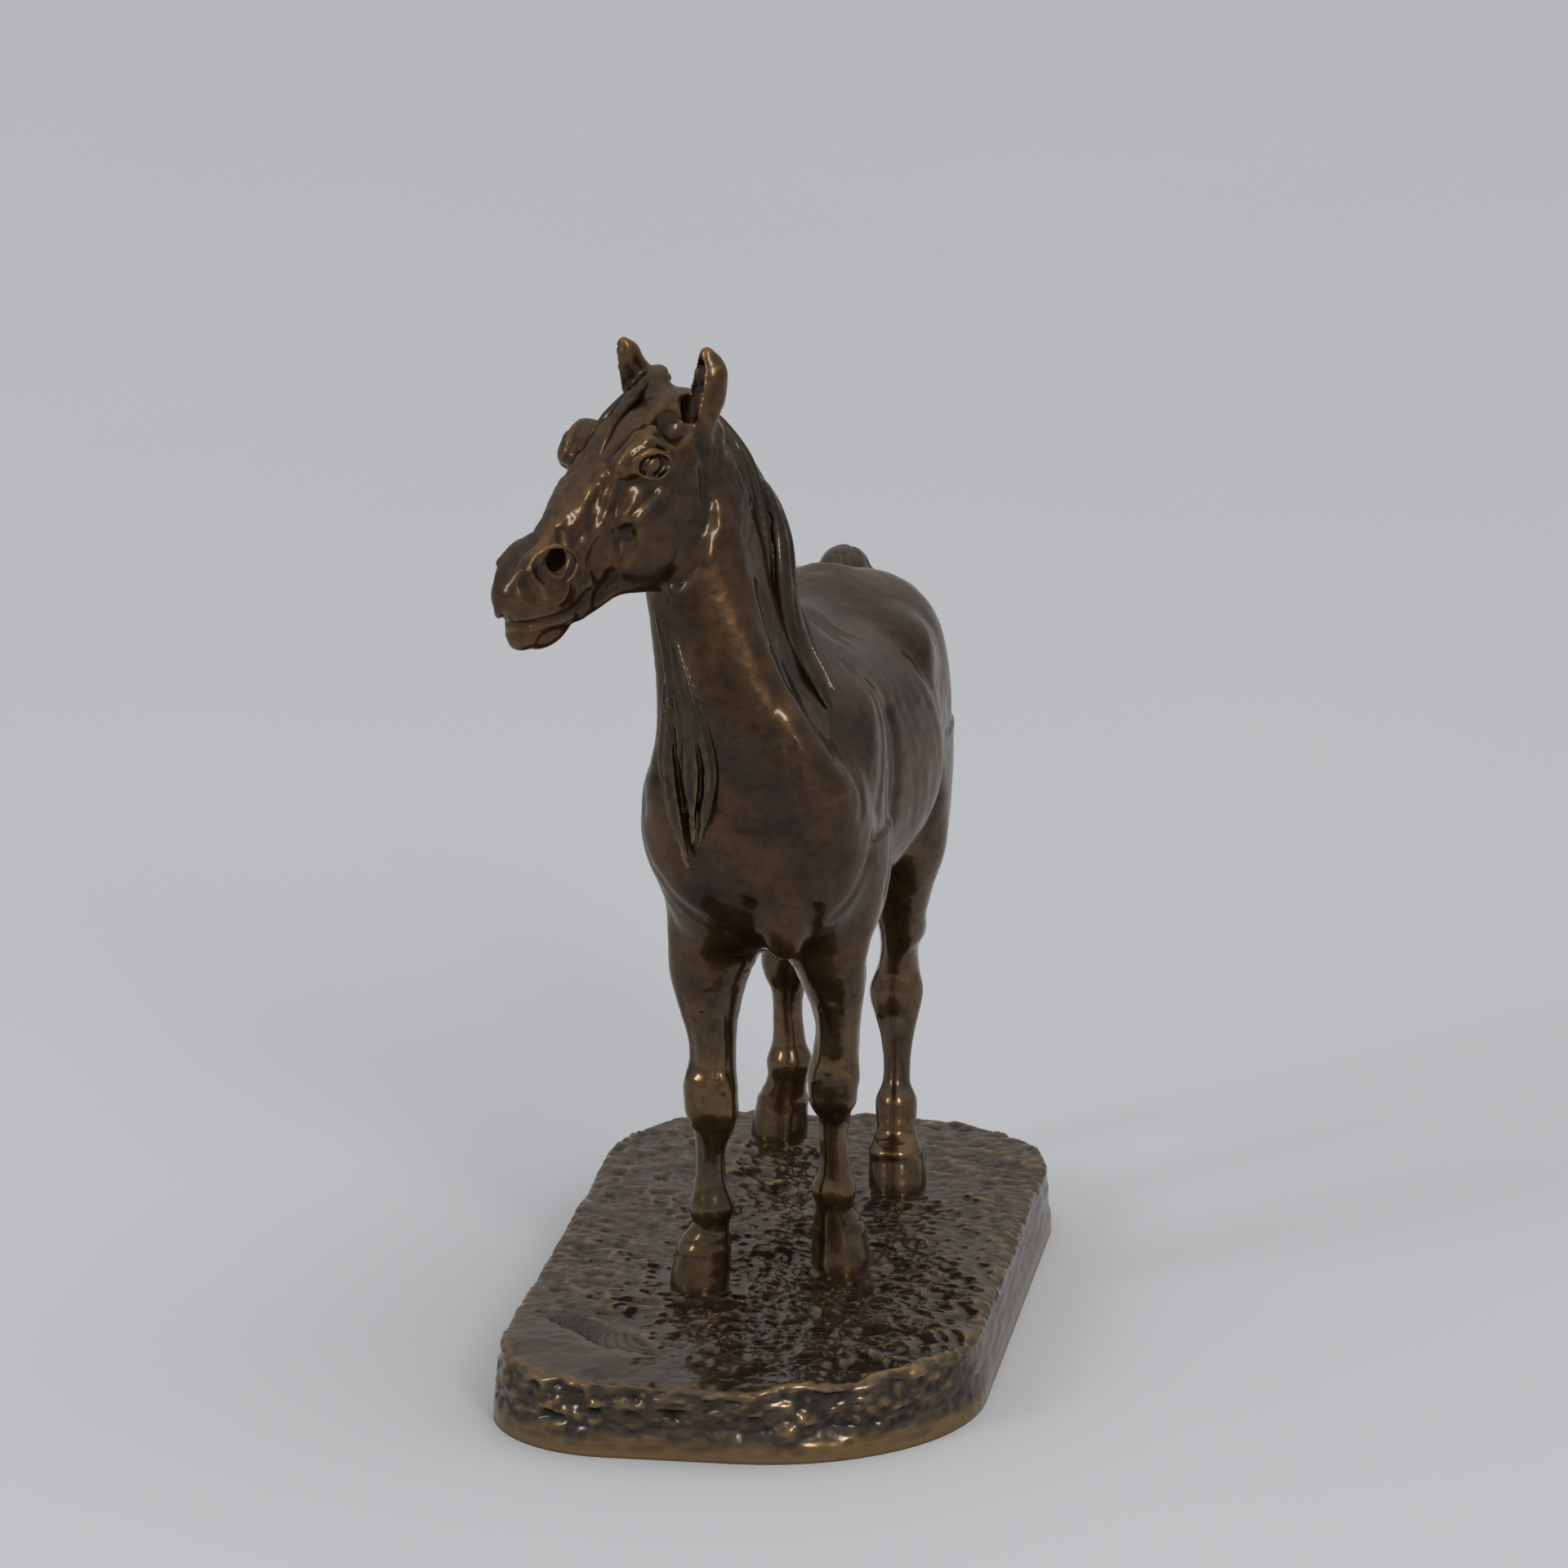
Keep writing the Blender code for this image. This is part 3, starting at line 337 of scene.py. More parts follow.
def build_terrace(count, rings):
    outer = terrace_outline(count)
    half = count // 2 + 1
    step = np.minimum(np.arange(count), count - np.arange(count)) * 2 / count
    middle = np.column_stack([np.zeros(count), 42 * (2 * step - 1)])
    reach = np.linalg.norm(outer - middle, axis=1)
    inward = (middle - outer) / reach[:, None]
    points = terrace_rings(outer, inward, middle, rings)
    plan = np.concatenate(points + [np.column_stack([middle[:half], np.full(half, GROUND)])])
    flat = plan.copy()
    flat[:, 2] += ground_height(plan)
    out = -np.concatenate([np.tile(inward, (len(points), 1)), np.zeros((half, 2))])
    flat[:, :2] += out * side_push(plan)[:, None]
    ids = np.arange(count)
    after = np.roll(ids, -1)
    faces = []
    for low in range(0, (len(points) - 1) * count, count):
        faces.append(np.stack([low + ids, low + after, low + count + after, low + count + ids], axis=1))
    low = (len(points) - 1) * count
    crown = len(points) * count + np.minimum(ids, count - ids)
    faces.append(np.stack([low + ids, low + after, np.roll(crown, -1), crown], axis=1))
    inner = underside_rings(outer, inward, reach)
    below = len(flat)
    for row in range(len(inner) - 1):
        low = below + row * count
        faces.append(np.stack([low + ids, low + count + ids, low + count + after, low + after], axis=1))
    faces.append(np.stack([ids, below + ids, below + after, after], axis=1))
    terrace = mesh_of("terrace", np.concatenate([flat] + inner), np.concatenate(faces))
    close_holes(terrace)
    return terrace


terrace = build_terrace(760, 72)
points = read_points(terrace.data)
# the rim is rubbed bright by handling, unevenly
worn = 0.13 + 0.1 * lumps(points, 7, 13) + 0.07 * lumps(points, 2.1, 14)
note_relief(terrace, 12, worn * np.clip((4.8 - points[:, 2]) / 2.4, 0, 1))
terrace.data.materials.append(
    patinated_bronze(
        "waxed black-brown patina on cast bronze",
        "#1a1713",
        "#3d342d",
        "#574a3d",
        # gold of raised points: rubbed bronze and a painted highlight
        "#8a6e48",
        0.17,
        11.0,
        0.05,
        0.27,
    )
)
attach(terrace, "root")
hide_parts("base_terrace")


# The trunk: a hollow bronze casting from a wax that was modelled by hand, with the tops
# of all four legs on it. Muscles are laid on as smooth masses and the edge of a tool has
# drawn the folds between them. It is cut square where the legs and the neck pin on.


class Wax:
    """A block of space that holds, in millimetres, how far each point is outside the wax."""

    def __init__(self, low, high, step):
        self.step = step
        self.low = np.array(low, float)
        self.axes = [np.arange(low[k], high[k] + step, step, dtype=np.float32) for k in range(3)]
        self.field = np.full([len(a) for a in self.axes], 9.0, np.float32)

    def window(self, low, high):
        """The cells between two corners, and their coordinates ready to combine."""
        cut = []
        for k in range(3):
            start = max(int(np.searchsorted(self.axes[k], low[k])) - 1, 0)
            end = min(int(np.searchsorted(self.axes[k], high[k])) + 1, len(self.axes[k]))
            if end - start < 2:
                return None
            cut.append(slice(start, end))
        x, y, z = (self.axes[k][cut[k]] for k in range(3))
        return tuple(cut), x[:, None, None], y[None, :, None], z[None, None, :]

    def merge(self, cut, new, soft):
        """Adds wax, with a fillet of this size where it meets what is there."""
        old = self.field[cut]
        fillet = np.maximum(soft - np.abs(old - new), 0) / soft
        self.field[cut] = np.minimum(old, new) - fillet * fillet * (soft * 0.25)

    def carve(self, cut, new, soft):
        """Takes away wax, with a rounded edge of this size."""
        old = self.field[cut]
        new = -new
        fillet = np.maximum(soft - np.abs(old - new), 0) / soft
        self.field[cut] = np.maximum(old, new) + fillet * fillet * (soft * 0.25)

    def lay(self, cut, away, soft, dig):
        if dig:
            self.carve(cut, away, soft)
        else:
            self.merge(cut, away, soft)

    def mass(self, centre, radii, soft, turn=(0, 0, 0), dig=False):
        """An egg of wax turned about its middle, or a hollow of that shape."""
        spin = np.array(Euler([math.radians(t) for t in turn]).to_matrix())
        self.lump(centre, radii, soft, spin.T, dig)

    def lump(self, centre, radii, soft, axes, dig=False):
        """An egg of wax, or a hollow of that shape, along three given directions."""
        reach = max(radii) + soft + 1.5
        centre = np.array(centre, float)
        found = self.window(centre - reach, centre + reach)
        if found is None:
            return
        cut, x, y, z = found
        near = 0
        steep = 0
        for radius, (i, j, k) in zip(radii, axes):
            part = (x - centre[0]) * i + (y - centre[1]) * j + (z - centre[2]) * k
            near = near + (part / radius) ** 2
            steep = steep + (part / radius**2) ** 2
        near = np.sqrt(near)
        away = (near * (near - 1) / np.maximum(np.sqrt(steep), 1e-5)).astype(np.float32)
        self.lay(cut, away, soft, dig)

    def tube(self, cut, across, halves, past, soft, square, ends):
        """Adds a limb of rounded section, from how far each point is off its middle both ways,
        its half widths there, and how far each point is past its ends."""
        a, b = halves
        u, v = np.abs(across[0]) / a, np.abs(across[1]) / b
        near = (u**square + v**square) ** (1 / square)
        steep = np.sqrt((u ** (square - 1) / a) ** 2 + (v ** (square - 1) / b) ** 2)
        steep = steep / np.maximum(near, 1e-3) ** (square - 1)
        away = (near - 1) / np.maximum(steep, 1e-3)
        fillet = np.maximum(ends - np.abs(away - past), 0) / ends
        away = np.maximum(away, past) + fillet * fillet * (ends * 0.25)
        self.merge(cut, away.astype(np.float32), soft)

    def beam(self, rows, soft, square=2.3, ends=2.0):
        """The skull: rows along the face, each with its middle and half width both ways."""
        rows = np.array(rows, float)
        corners = []
        for t, u, half, w, deep in rows:
            corners += on_head(*[(t, u + a * half, w + b * deep) for a in (-1, 1) for b in (-1, 1)])
        corners = np.array(corners)
        found = self.window(corners.min(0) - 3 - soft, corners.max(0) + 3 + soft)
        if found is None:
            return
        cut, x, y, z = found
        t, u, w = ((x - POLL[0]) * i + (y - POLL[1]) * j + (z - POLL[2]) * k for i, j, k in FACE)
        at = [glide(t, rows[:, 0], rows[:, k]) for k in range(1, 5)]
        halves = np.maximum(at[1], 0.3), np.maximum(at[3], 0.3)
        past = np.maximum(rows[0, 0] - t, t - rows[-1, 0])
        self.tube(cut, (u - at[0], w - at[2]), halves, past, soft, square, ends)

    def column(self, rows, soft, axis=2, square=2.0, ends=2.0):
        """A limb along one axis: each row is its place along, then middle and half width
        across the two other axes, then an optional turn."""
        rows = np.array(rows, float)
        rows = rows[np.argsort(rows[:, 0])]
        other = [k for k in range(3) if k != axis]
        low = np.empty(3)
        high = np.empty(3)
        low[axis], high[axis] = rows[0, 0] - 2, rows[-1, 0] + 2
        widest = np.maximum(rows[:, 2], rows[:, 4])
        for k, column in zip(other, (1, 3)):
            spread = rows[:, column + 1] if rows.shape[1] < 6 else widest
            low[k] = (rows[:, column] - spread).min() - soft - 1.5
            high[k] = (rows[:, column] + spread).max() + soft + 1.5
        found = self.window(low, high)
        if found is None:
            return
        cut, *space = found
        along = space[axis]
        at = [glide(along, rows[:, 0], rows[:, k]) for k in range(1, rows.shape[1])]
        u = space[other[0]] - at[0]
        v = space[other[1]] - at[2]
        if len(at) > 4:
            c, s = np.cos(np.radians(at[4])), np.sin(np.radians(at[4]))
            u, v = u * c - v * s, u * s + v * c
        halves = np.maximum(at[1], 0.3), np.maximum(at[3], 0.3)
        past = np.maximum(rows[0, 0] - along, along - rows[-1, 0])
        self.tube(cut, (u, v), halves, past, soft, square, ends)

    def distance(self, points, radii, reach):
        """Distance from a bent line that swells along its length."""
        points = np.array(points, float)
        found = self.window(points.min(0) - reach, points.max(0) + reach)
        if found is None:
            return None
        cut, x, y, z = found
        shape = (x.shape[0], y.shape[1], z.shape[2])
        best = np.full(shape, 99.0, np.float32)
        for a, b, ra, rb in zip(points[:-1], points[1:], radii[:-1], radii[1:]):
            inner = []
            for k, line in enumerate((x.ravel(), y.ravel(), z.ravel())):
                start = max(int(np.searchsorted(line, min(a[k], b[k]) - reach)) - 1, 0)
                end = min(int(np.searchsorted(line, max(a[k], b[k]) + reach)) + 1, len(line))
                inner.append(slice(start, end))
            inner = tuple(inner)
            if min(s.stop - s.start for s in inner) < 1:
                continue
            dx, dy, dz = x[inner[0]] - a[0], y[:, inner[1]] - a[1], z[:, :, inner[2]] - a[2]
            d = b - a
            share = np.clip((dx * d[0] + dy * d[1] + dz * d[2]) / max(d @ d, 1e-6), 0, 1)
            gap = np.sqrt((dx - share * d[0]) ** 2 + (dy - share * d[1]) ** 2 + (dz - share * d[2]) ** 2)
            gap -= ra + (rb - ra) * share
            best[inner] = np.minimum(best[inner], gap)
        return cut, best

    def cord(self, points, radii, soft, dig=False, bends=4):
        """A rounded strip of wax along a smooth path, or a groove of that shape."""
        points, radii = bend(points, radii, bends)
        found = self.distance(points, radii, max(radii) + soft + 1.0)
        if found is None:
            return
        cut, away = found
        self.lay(cut, away, soft, dig)

    def leaf(self, path, widths, wall, mouth):
        """An ear: a tapering shell that is open towards the mouth direction."""
        reach = max(widths) + 2.0
        cut, away = self.distance(path, widths, reach)
        self.merge(cut, away, 1.0)
        hollow = path + mouth * (widths * 0.62)[:, None]
        cut, away = self.distance(hollow[4:-2], np.maximum(widths[4:-2] - wall, 0.4), reach)
        self.carve(cut, away, 0.5)

    def stroke(self, points, width, depth, bends=4):
        """Draws along the surface with a tool: depth over 0 sinks a line, under 0 raises it.
        It is rounded at both ends."""
        points, _ = bend(points, [0] * len(points), bends)
        points = self.settle(points)
        found = self.distance(points, [0] * len(points), width * 2.2)
        if found is None:
            return
        cut, away = found
        self.field[cut] += depth * np.exp(-((away / width) ** 2))

    def sample(self, points):
        at = (points - self.low) / self.step
        size = np.array(self.field.shape) - 2
        at = np.clip(at, 0, size)
        cell = at.astype(int)
        part = at - cell
        total = 0
        for corner in range(8):
            shift = np.array([corner & 1, corner >> 1 & 1, corner >> 2 & 1])
            weight = np.prod(np.where(shift, part, 1 - part), axis=1)
            i, j, k = (cell + shift).T
            total = total + weight * self.field[i, j, k]
        return total

    def settle(self, points):
        """Moves points onto the surface."""
        points = np.array(points, float)
        for _ in range(6):
            slope = np.empty_like(points)
            for k in range(3):
                shift = np.zeros(3)
                shift[k] = self.step
                slope[:, k] = (self.sample(points + shift) - self.sample(points - shift)) / (2 * self.step)
            steep = np.maximum((slope**2).sum(axis=1), 0.2)
            points -= slope * (np.clip(self.sample(points), -2, 2) / steep)[:, None]
        return points

    def skin(self, name):
        """The surface of the wax as a mesh of even squares."""
        field = self.field
        for k in range(3):
            edge = [slice(None)] * 3
            for end in (0, -1):
                edge[k] = end
                field[tuple(edge)] = np.maximum(field[tuple(edge)], 0.5 * self.step)
        inside = field < 0
        count = np.zeros([n - 1 for n in field.shape], np.uint8)
        size = field.shape
        corners = [np.array([c & 1, c >> 1 & 1, c >> 2 & 1]) for c in range(8)]
        for c in corners:
            count += inside[
                c[0] : size[0] - 1 + c[0],
                c[1] : size[1] - 1 + c[1],
                c[2] : size[2] - 1 + c[2],
            ]
        active = (count > 0) & (count < 8)
        cells = np.argwhere(active)
        index = np.full(active.shape, -1, np.int32)
        index[active] = np.arange(len(cells))
        place = np.zeros((len(cells), 3))
        hits = np.zeros(len(cells))
        for a in corners:
            for k in range(3):
                if a[k]:
                    continue
                b = a.copy()
                b[k] = 1
                first = field[tuple((cells + a).T)]
                second = field[tuple((cells + b).T)]
                cross = (first < 0) != (second < 0)
                share = first / np.where(cross, first - second, 1)
                place[cross] += (a + (b - a) * share[:, None])[cross]
                hits += cross
        points = self.low + (cells + place / hits[:, None]) * self.step
        faces = []
        for k in range(3):
            u, v = (k + 1) % 3, (k + 2) % 3
            low = [slice(1, -1)] * 3
            high = [slice(1, -1)] * 3
            low[k], high[k] = slice(0, -1), slice(1, None)
            before, after = inside[tuple(low)], inside[tuple(high)]
            for starts_inside in (True, False):
                edges = np.argwhere((before != after) & (before == starts_inside))
                base = edges + 1
                base[:, k] -= 1
                around = []
                for du, dv in ((-1, -1), (0, -1), (0, 0), (-1, 0)):
                    cell = base.copy()
                    cell[:, u] += du
                    cell[:, v] += dv
                    around.append(index[tuple(cell.T)])
                if not starts_inside:
                    around.reverse()
                faces.append(np.stack(around, axis=1))
        return mesh_of(name, points, np.concatenate(faces))


def glide(at, knots, values):
    """A smooth curve through values given at knots."""
    gap = np.diff(knots)
    rise = np.diff(values) / gap
    slope = np.empty(len(values))
    slope[1:-1] = (rise[:-1] * gap[1:] + rise[1:] * gap[:-1]) / (gap[:-1] + gap[1:])
    slope[0], slope[-1] = rise[0], rise[-1]
    i = np.clip(np.searchsorted(knots, at) - 1, 0, len(knots) - 2)
    t = np.clip((at - knots[i]) / gap[i], 0, 1)
    start = (1 + 2 * t) * (1 - t) ** 2 * values[i] + t * (1 - t) ** 2 * gap[i] * slope[i]
    end = t * t * (3 - 2 * t) * values[i + 1] + t * t * (t - 1) * gap[i] * slope[i + 1]
    return (start + end).astype(np.float32)


def bend(points, radii, bends):
    """More points between the given ones, on a smooth curve."""
    points = np.array(points, float)
    knots = np.arange(len(points), dtype=float)
    at = np.linspace(0, len(points) - 1, (len(points) - 1) * bends + 1)
    smooth = np.stack([glide(at, knots, points[:, k]) for k in range(3)], axis=1)
    return smooth.astype(float), np.interp(at, knots, radii)


def both(points, middle):
    """A point or a path on the left side, then its mirror image on the right."""
    points = np.array(points, float)
    other = points.copy()
    other[..., 0] = 2 * middle - other[..., 0]
    return points, other


def shape_trunk(wax):
    """Ribcage, belly, shoulders and haunches."""
    rows = (
        (-49.5, 0.3, 5.0, 117.0, 106.0),
        (-46.5, 0.4, 13.0, 123.0, 97.0),
        (-41.0, 0.5, 19.0, 129.0, 87.0),
        (-34.0, 0.7, 20.4, 133.0, 84.5),
        (-26.0, 0.9, 20.6, 136.5, 83.2),
        (-17.0, 1.1, 20.6, 139.5, 82.3),
        (-8.0, 1.4, 21.4, 140.5, 81.8),
        (2.0, 1.6, 23.2, 138.6, 81.4),
        (12.0, 1.9, 25.2, 136.8, 81.4),
        (22.0, 2.2, 26.0, 136.4, 82.4),
        (32.0, 2.4, 24.0, 137.4, 85.0),
        (42.0, 2.4, 21.6, 138.8, 89.0),
        (51.0, 1.9, 20.6, 138.6, 93.0),
        (60.0, 1.6, 19.2, 136.0, 97.0),
        (68.0, 1.4, 15.0, 131.5, 101.0),
        (73.5, 1.4, 9.0, 125.5, 106.0),
        (76.0, 1.4, 5.0, 120.0, 111.0),
    )
    wax.column([(y, x, w, (t + b) / 2, (t - b) / 2) for y, x, w, t, b in rows], 1.0, axis=1, square=2.15)
    # withers and backbone
    wax.cord(
        [(1.2, -20, 138.0), (1.4, -6, 139.8), (1.6, 10, 136.4), (1.8, 26, 135.0), (1.6, 44, 138.2)],
        [3.4, 3.4, 2.8, 2.6, 3.0],
        7,
    )
    for side in (-1, 1):
        # croup, point of the hip and thigh
        wax.mass((1.4 + side * 9.6, 46, 125.4), (12.0, 22, 12.0), 6, (0, side * 14, 0))
        wax.mass((1.6 + side * 17.8, 31, 127.5), (4.6, 6.5, 5.5), 6)
        wax.mass((2.0 + side * 14.6, 47, 108), (9.0, 17, 19), 8)
        wax.cord(
            [(1.6 + side * 6.5, 70, 122), (1.6 + side * 11, 69, 110), (1.6 + side * 13.5, 63, 97)],
            [6.0, 7.2, 6.0],
            8,
        )
        # stifle
        wax.mass((2.0 + side * 17.2, 35, 95), (5.4, 7.4, 9.0), 8)
        # shoulder blade, point of the shoulder, and the mass behind it down to the elbow
        wax.mass((0.6 + side * 13.0, -24, 117), (6.0, 10, 15), 10, (-24, side * 8, 0))
        wax.mass((-0.2 + side * 14.0, -39.5, 112), (5.8, 7.0, 9.0), 7, (0, 0, side * 10))
        # breast
        wax.mass((0.2 + side * 8.0, -44.5, 108.5), (9.0, 7.0, 12.5), 8, (6, 0, side * -12))
    wax.mass((-11.8, -21, 104), (5.4, 12, 11), 7, (24, 0, 0))
    wax.mass((16.4, -22, 98), (5.8, 11, 11), 7, (24, 0, 0))
    # keel of the breast between the forelegs
    wax.mass((6.6, -41.0, 93.5), (5.0, 6.5, 9.0), 4)
    wax.mass((3.4, -41.5, 99.5), (13.0, 6.6, 8.5), 8)


def shape_neck(wax):
    """Neck from the breast to the poll, turning to the horse's right as it rises."""
    rows = (
        (96.0, 0.6, 7.0, -26.0, 8.0, 0.0),
        (104.0, 0.6, 11.6, -30.6, 12.8, 0.0),
        (114.0, 0.6, 14.6, -33.0, 17.2, 0.0),
        (122.0, 0.2, 14.8, -31.8, 19.0, 0.0),
        (130.0, -0.8, 13.4, -31.0, 19.4, 2.0),
        (138.0, -2.2, 11.2, -31.0, 18.0, 6.0),
        (146.0, -3.8, 9.6, -32.0, 15.6, 10.0),
        (154.0, -5.6, 8.6, -33.6, 13.6, 15.0),
        (162.0, -7.2, 8.0, -35.2, 12.4, 20.0),
        (170.0, -9.4, 7.7, -37.0, 11.8, 27.0),
        (178.0, -11.8, 7.3, -38.6, 10.8, 33.0),
        (186.0, -14.6, 6.8, -40.4, 8.6, 38.0),
        (191.0, -15.8, 5.4, -41.4, 5.6, 39.0),
    )
    wax.column(rows, 6.0, square=2.0, ends=5.0)
    # muscle from behind the jaw to the arm, one each side, and the windpipe between them
    wax.cord(
        [
            (-8.0, -43.5, 169), (-4.2, -45, 157), (-0.4, -46.5, 147), (4.4, -47.5, 136),
            (10.0, -47.5, 126), (14.0, -45.0, 117),
        ],
        [2.0, 2.8, 3.4, 4.2, 4.6, 4.4],
        8,
    )
    wax.cord(
        [
            (-16.6, -40.5, 166), (-14.6, -43, 155), (-13.0, -45.0, 144), (-12.6, -46.5, 133),
            (-13.4, -45.5, 120),
        ],
        [2.0, 2.8, 3.6, 4.2, 4.4],
        8,
    )
    wax.cord(
        [
            (-13.6, -45.4, 160), (-10.0, -46.2, 150), (-6.4, -47.0, 140), (-3.0, -48.2, 130),
            (-0.6, -48.6, 120),
        ],
        [2.2, 2.8, 3.2, 3.2, 2.8],
        12,
    )


FORELEG_RIGHT = (
    (104.0, -11.6, 5.8, -25.0, 11.0),
    (97.0, -10.4, 6.4, -26.0, 12.0),
    (90.0, -9.6, 6.6, -26.6, 11.6),
    (84.0, -9.6, 7.2, -27.0, 10.4),
    (79.0, -9.9, 7.5, -27.0, 9.2),
    (75.0, -10.2, 6.4, -27.0, 8.0),
    (70.0, -10.0, 5.2, -27.0, 6.7),
    (65.0, -9.7, 4.5, -27.0, 5.7),
    (60.0, -9.8, 4.5, -27.0, 5.3),
    (55.0, -10.0, 4.85, -27.2, 5.6),
    (50.0, -9.9, 4.85, -26.9, 5.5),
    (46.0, -9.8, 4.0, -26.3, 4.7),
    (42.0, -10.3, 3.0, -26.0, 4.1),
    (36.5, -10.4, 2.95, -26.0, 4.0),
    (33.0, -10.3, 3.5, -26.0, 4.4),
    (29.5, -10.1, 3.8, -25.8, 4.9),
    (26.5, -10.5, 3.6, -26.2, 4.3),
    (23.5, -11.3, 4.3, -26.4, 4.6),
    (20.0, -12.0, 4.3, -26.4, 4.8),
    (16.0, -12.5, 4.4, -26.2, 5.0),
)
FORELEG_LEFT = (
    (104.0, 14.4, 6.6, -24.0, 11.0),
    (97.0, 13.4, 7.4, -23.6, 12.0),
    (90.0, 12.8, 7.6, -23.2, 11.6),
    (84.0, 12.2, 7.4, -22.6, 10.4),
    (79.0, 12.2, 6.9, -22.0, 9.2),
    (75.0, 12.9, 6.0, -21.3, 7.9),
    (70.0, 13.3, 4.8, -20.2, 6.6),
    (65.0, 13.4, 4.2, -19.2, 5.7),
    (60.0, 12.9, 4.4, -18.2, 5.3),
    (55.0, 12.5, 4.5, -17.4, 5.6),
    (50.5, 12.2, 4.0, -16.6, 5.3),
    (46.8, 12.2, 3.2, -15.6, 4.6),
    (42.0, 11.9, 2.7, -14.7, 4.1),
    (37.0, 12.0, 3.0, -13.9, 4.0),
    (33.0, 11.9, 3.5, -13.1, 4.4),
    (30.0, 11.7, 3.8, -12.3, 4.9),
    (27.0, 11.8, 3.7, -11.9, 4.3),
    (24.0, 12.0, 4.2, -11.4, 4.5),
    (20.0, 12.4, 4.3, -10.8, 4.8),
    (16.0, 12.8, 4.4, -10.2, 5.0),
)
HINDLEG_LEFT = (
    (106.0, 15.4, 8.0, 47.0, 17.0),
    (99.0, 16.8, 8.6, 44.6, 16.6),
    (92.0, 17.6, 8.2, 43.0, 15.0),
    (85.0, 17.9, 7.7, 43.2, 12.8),
    (80.0, 17.6, 6.8, 44.4, 11.2),
    (75.0, 16.9, 5.8, 46.0, 9.7),
    (70.0, 16.4, 5.0, 48.0, 8.3),
    (65.0, 16.5, 4.6, 50.4, 7.2),
    (60.5, 15.6, 3.7, 52.6, 6.4),
    (56.5, 15.2, 4.1, 53.6, 6.2),
    (52.0, 15.0, 4.8, 53.2, 5.9),
    (47.5, 15.2, 4.4, 52.2, 5.1),
    (42.0, 15.5, 3.2, 50.6, 4.2),
    (36.0, 15.7, 2.7, 48.8, 3.9),
    (31.5, 15.8, 3.1, 47.4, 4.2),
    (27.5, 16.0, 4.0, 46.2, 4.9),
    (24.5, 16.1, 3.8, 44.8, 4.4),
    (22.4, 16.4, 4.1, 43.6, 4.6),
    (19.0, 16.7, 4.3, 42.0, 4.8),
    (16.0, 17.0, 4.4, 41.2, 5.0),
)
HINDLEG_RIGHT = (
    (106.0, -11.6, 8.4, 51.6, 17.0),
    (99.0, -12.4, 9.0, 51.0, 16.6),
    (92.0, -13.0, 8.8, 51.4, 15.0),
    (85.0, -13.4, 7.8, 53.4, 12.8),
    (80.0, -13.2, 6.9, 55.8, 11.2),
    (75.0, -12.6, 6.0, 58.8, 9.8),
    (70.0, -12.0, 5.5, 62.2, 8.6),
    (65.0, -11.4, 5.0, 65.6, 7.4),
    (60.5, -10.8, 4.5, 68.4, 6.7),
    (56.5, -10.3, 4.6, 70.4, 6.2),
    (52.5, -9.9, 5.0, 71.4, 5.9),
    (48.8, -10.0, 4.2, 71.6, 5.3),
    (45.0, -9.8, 3.3, 71.5, 4.6),
    (39.5, -9.8, 3.05, 71.3, 4.0),
    (34.5, -9.6, 3.4, 71.2, 4.2),
    (30.5, -9.4, 4.3, 71.2, 4.9),
    (27.0, -9.8, 4.2, 71.2, 4.7),
    (23.5, -10.7, 4.3, 71.8, 4.6),
    (20.0, -11.3, 4.3, 72.4, 4.8),
    (16.0, -11.8, 4.4, 72.8, 5.0),
)


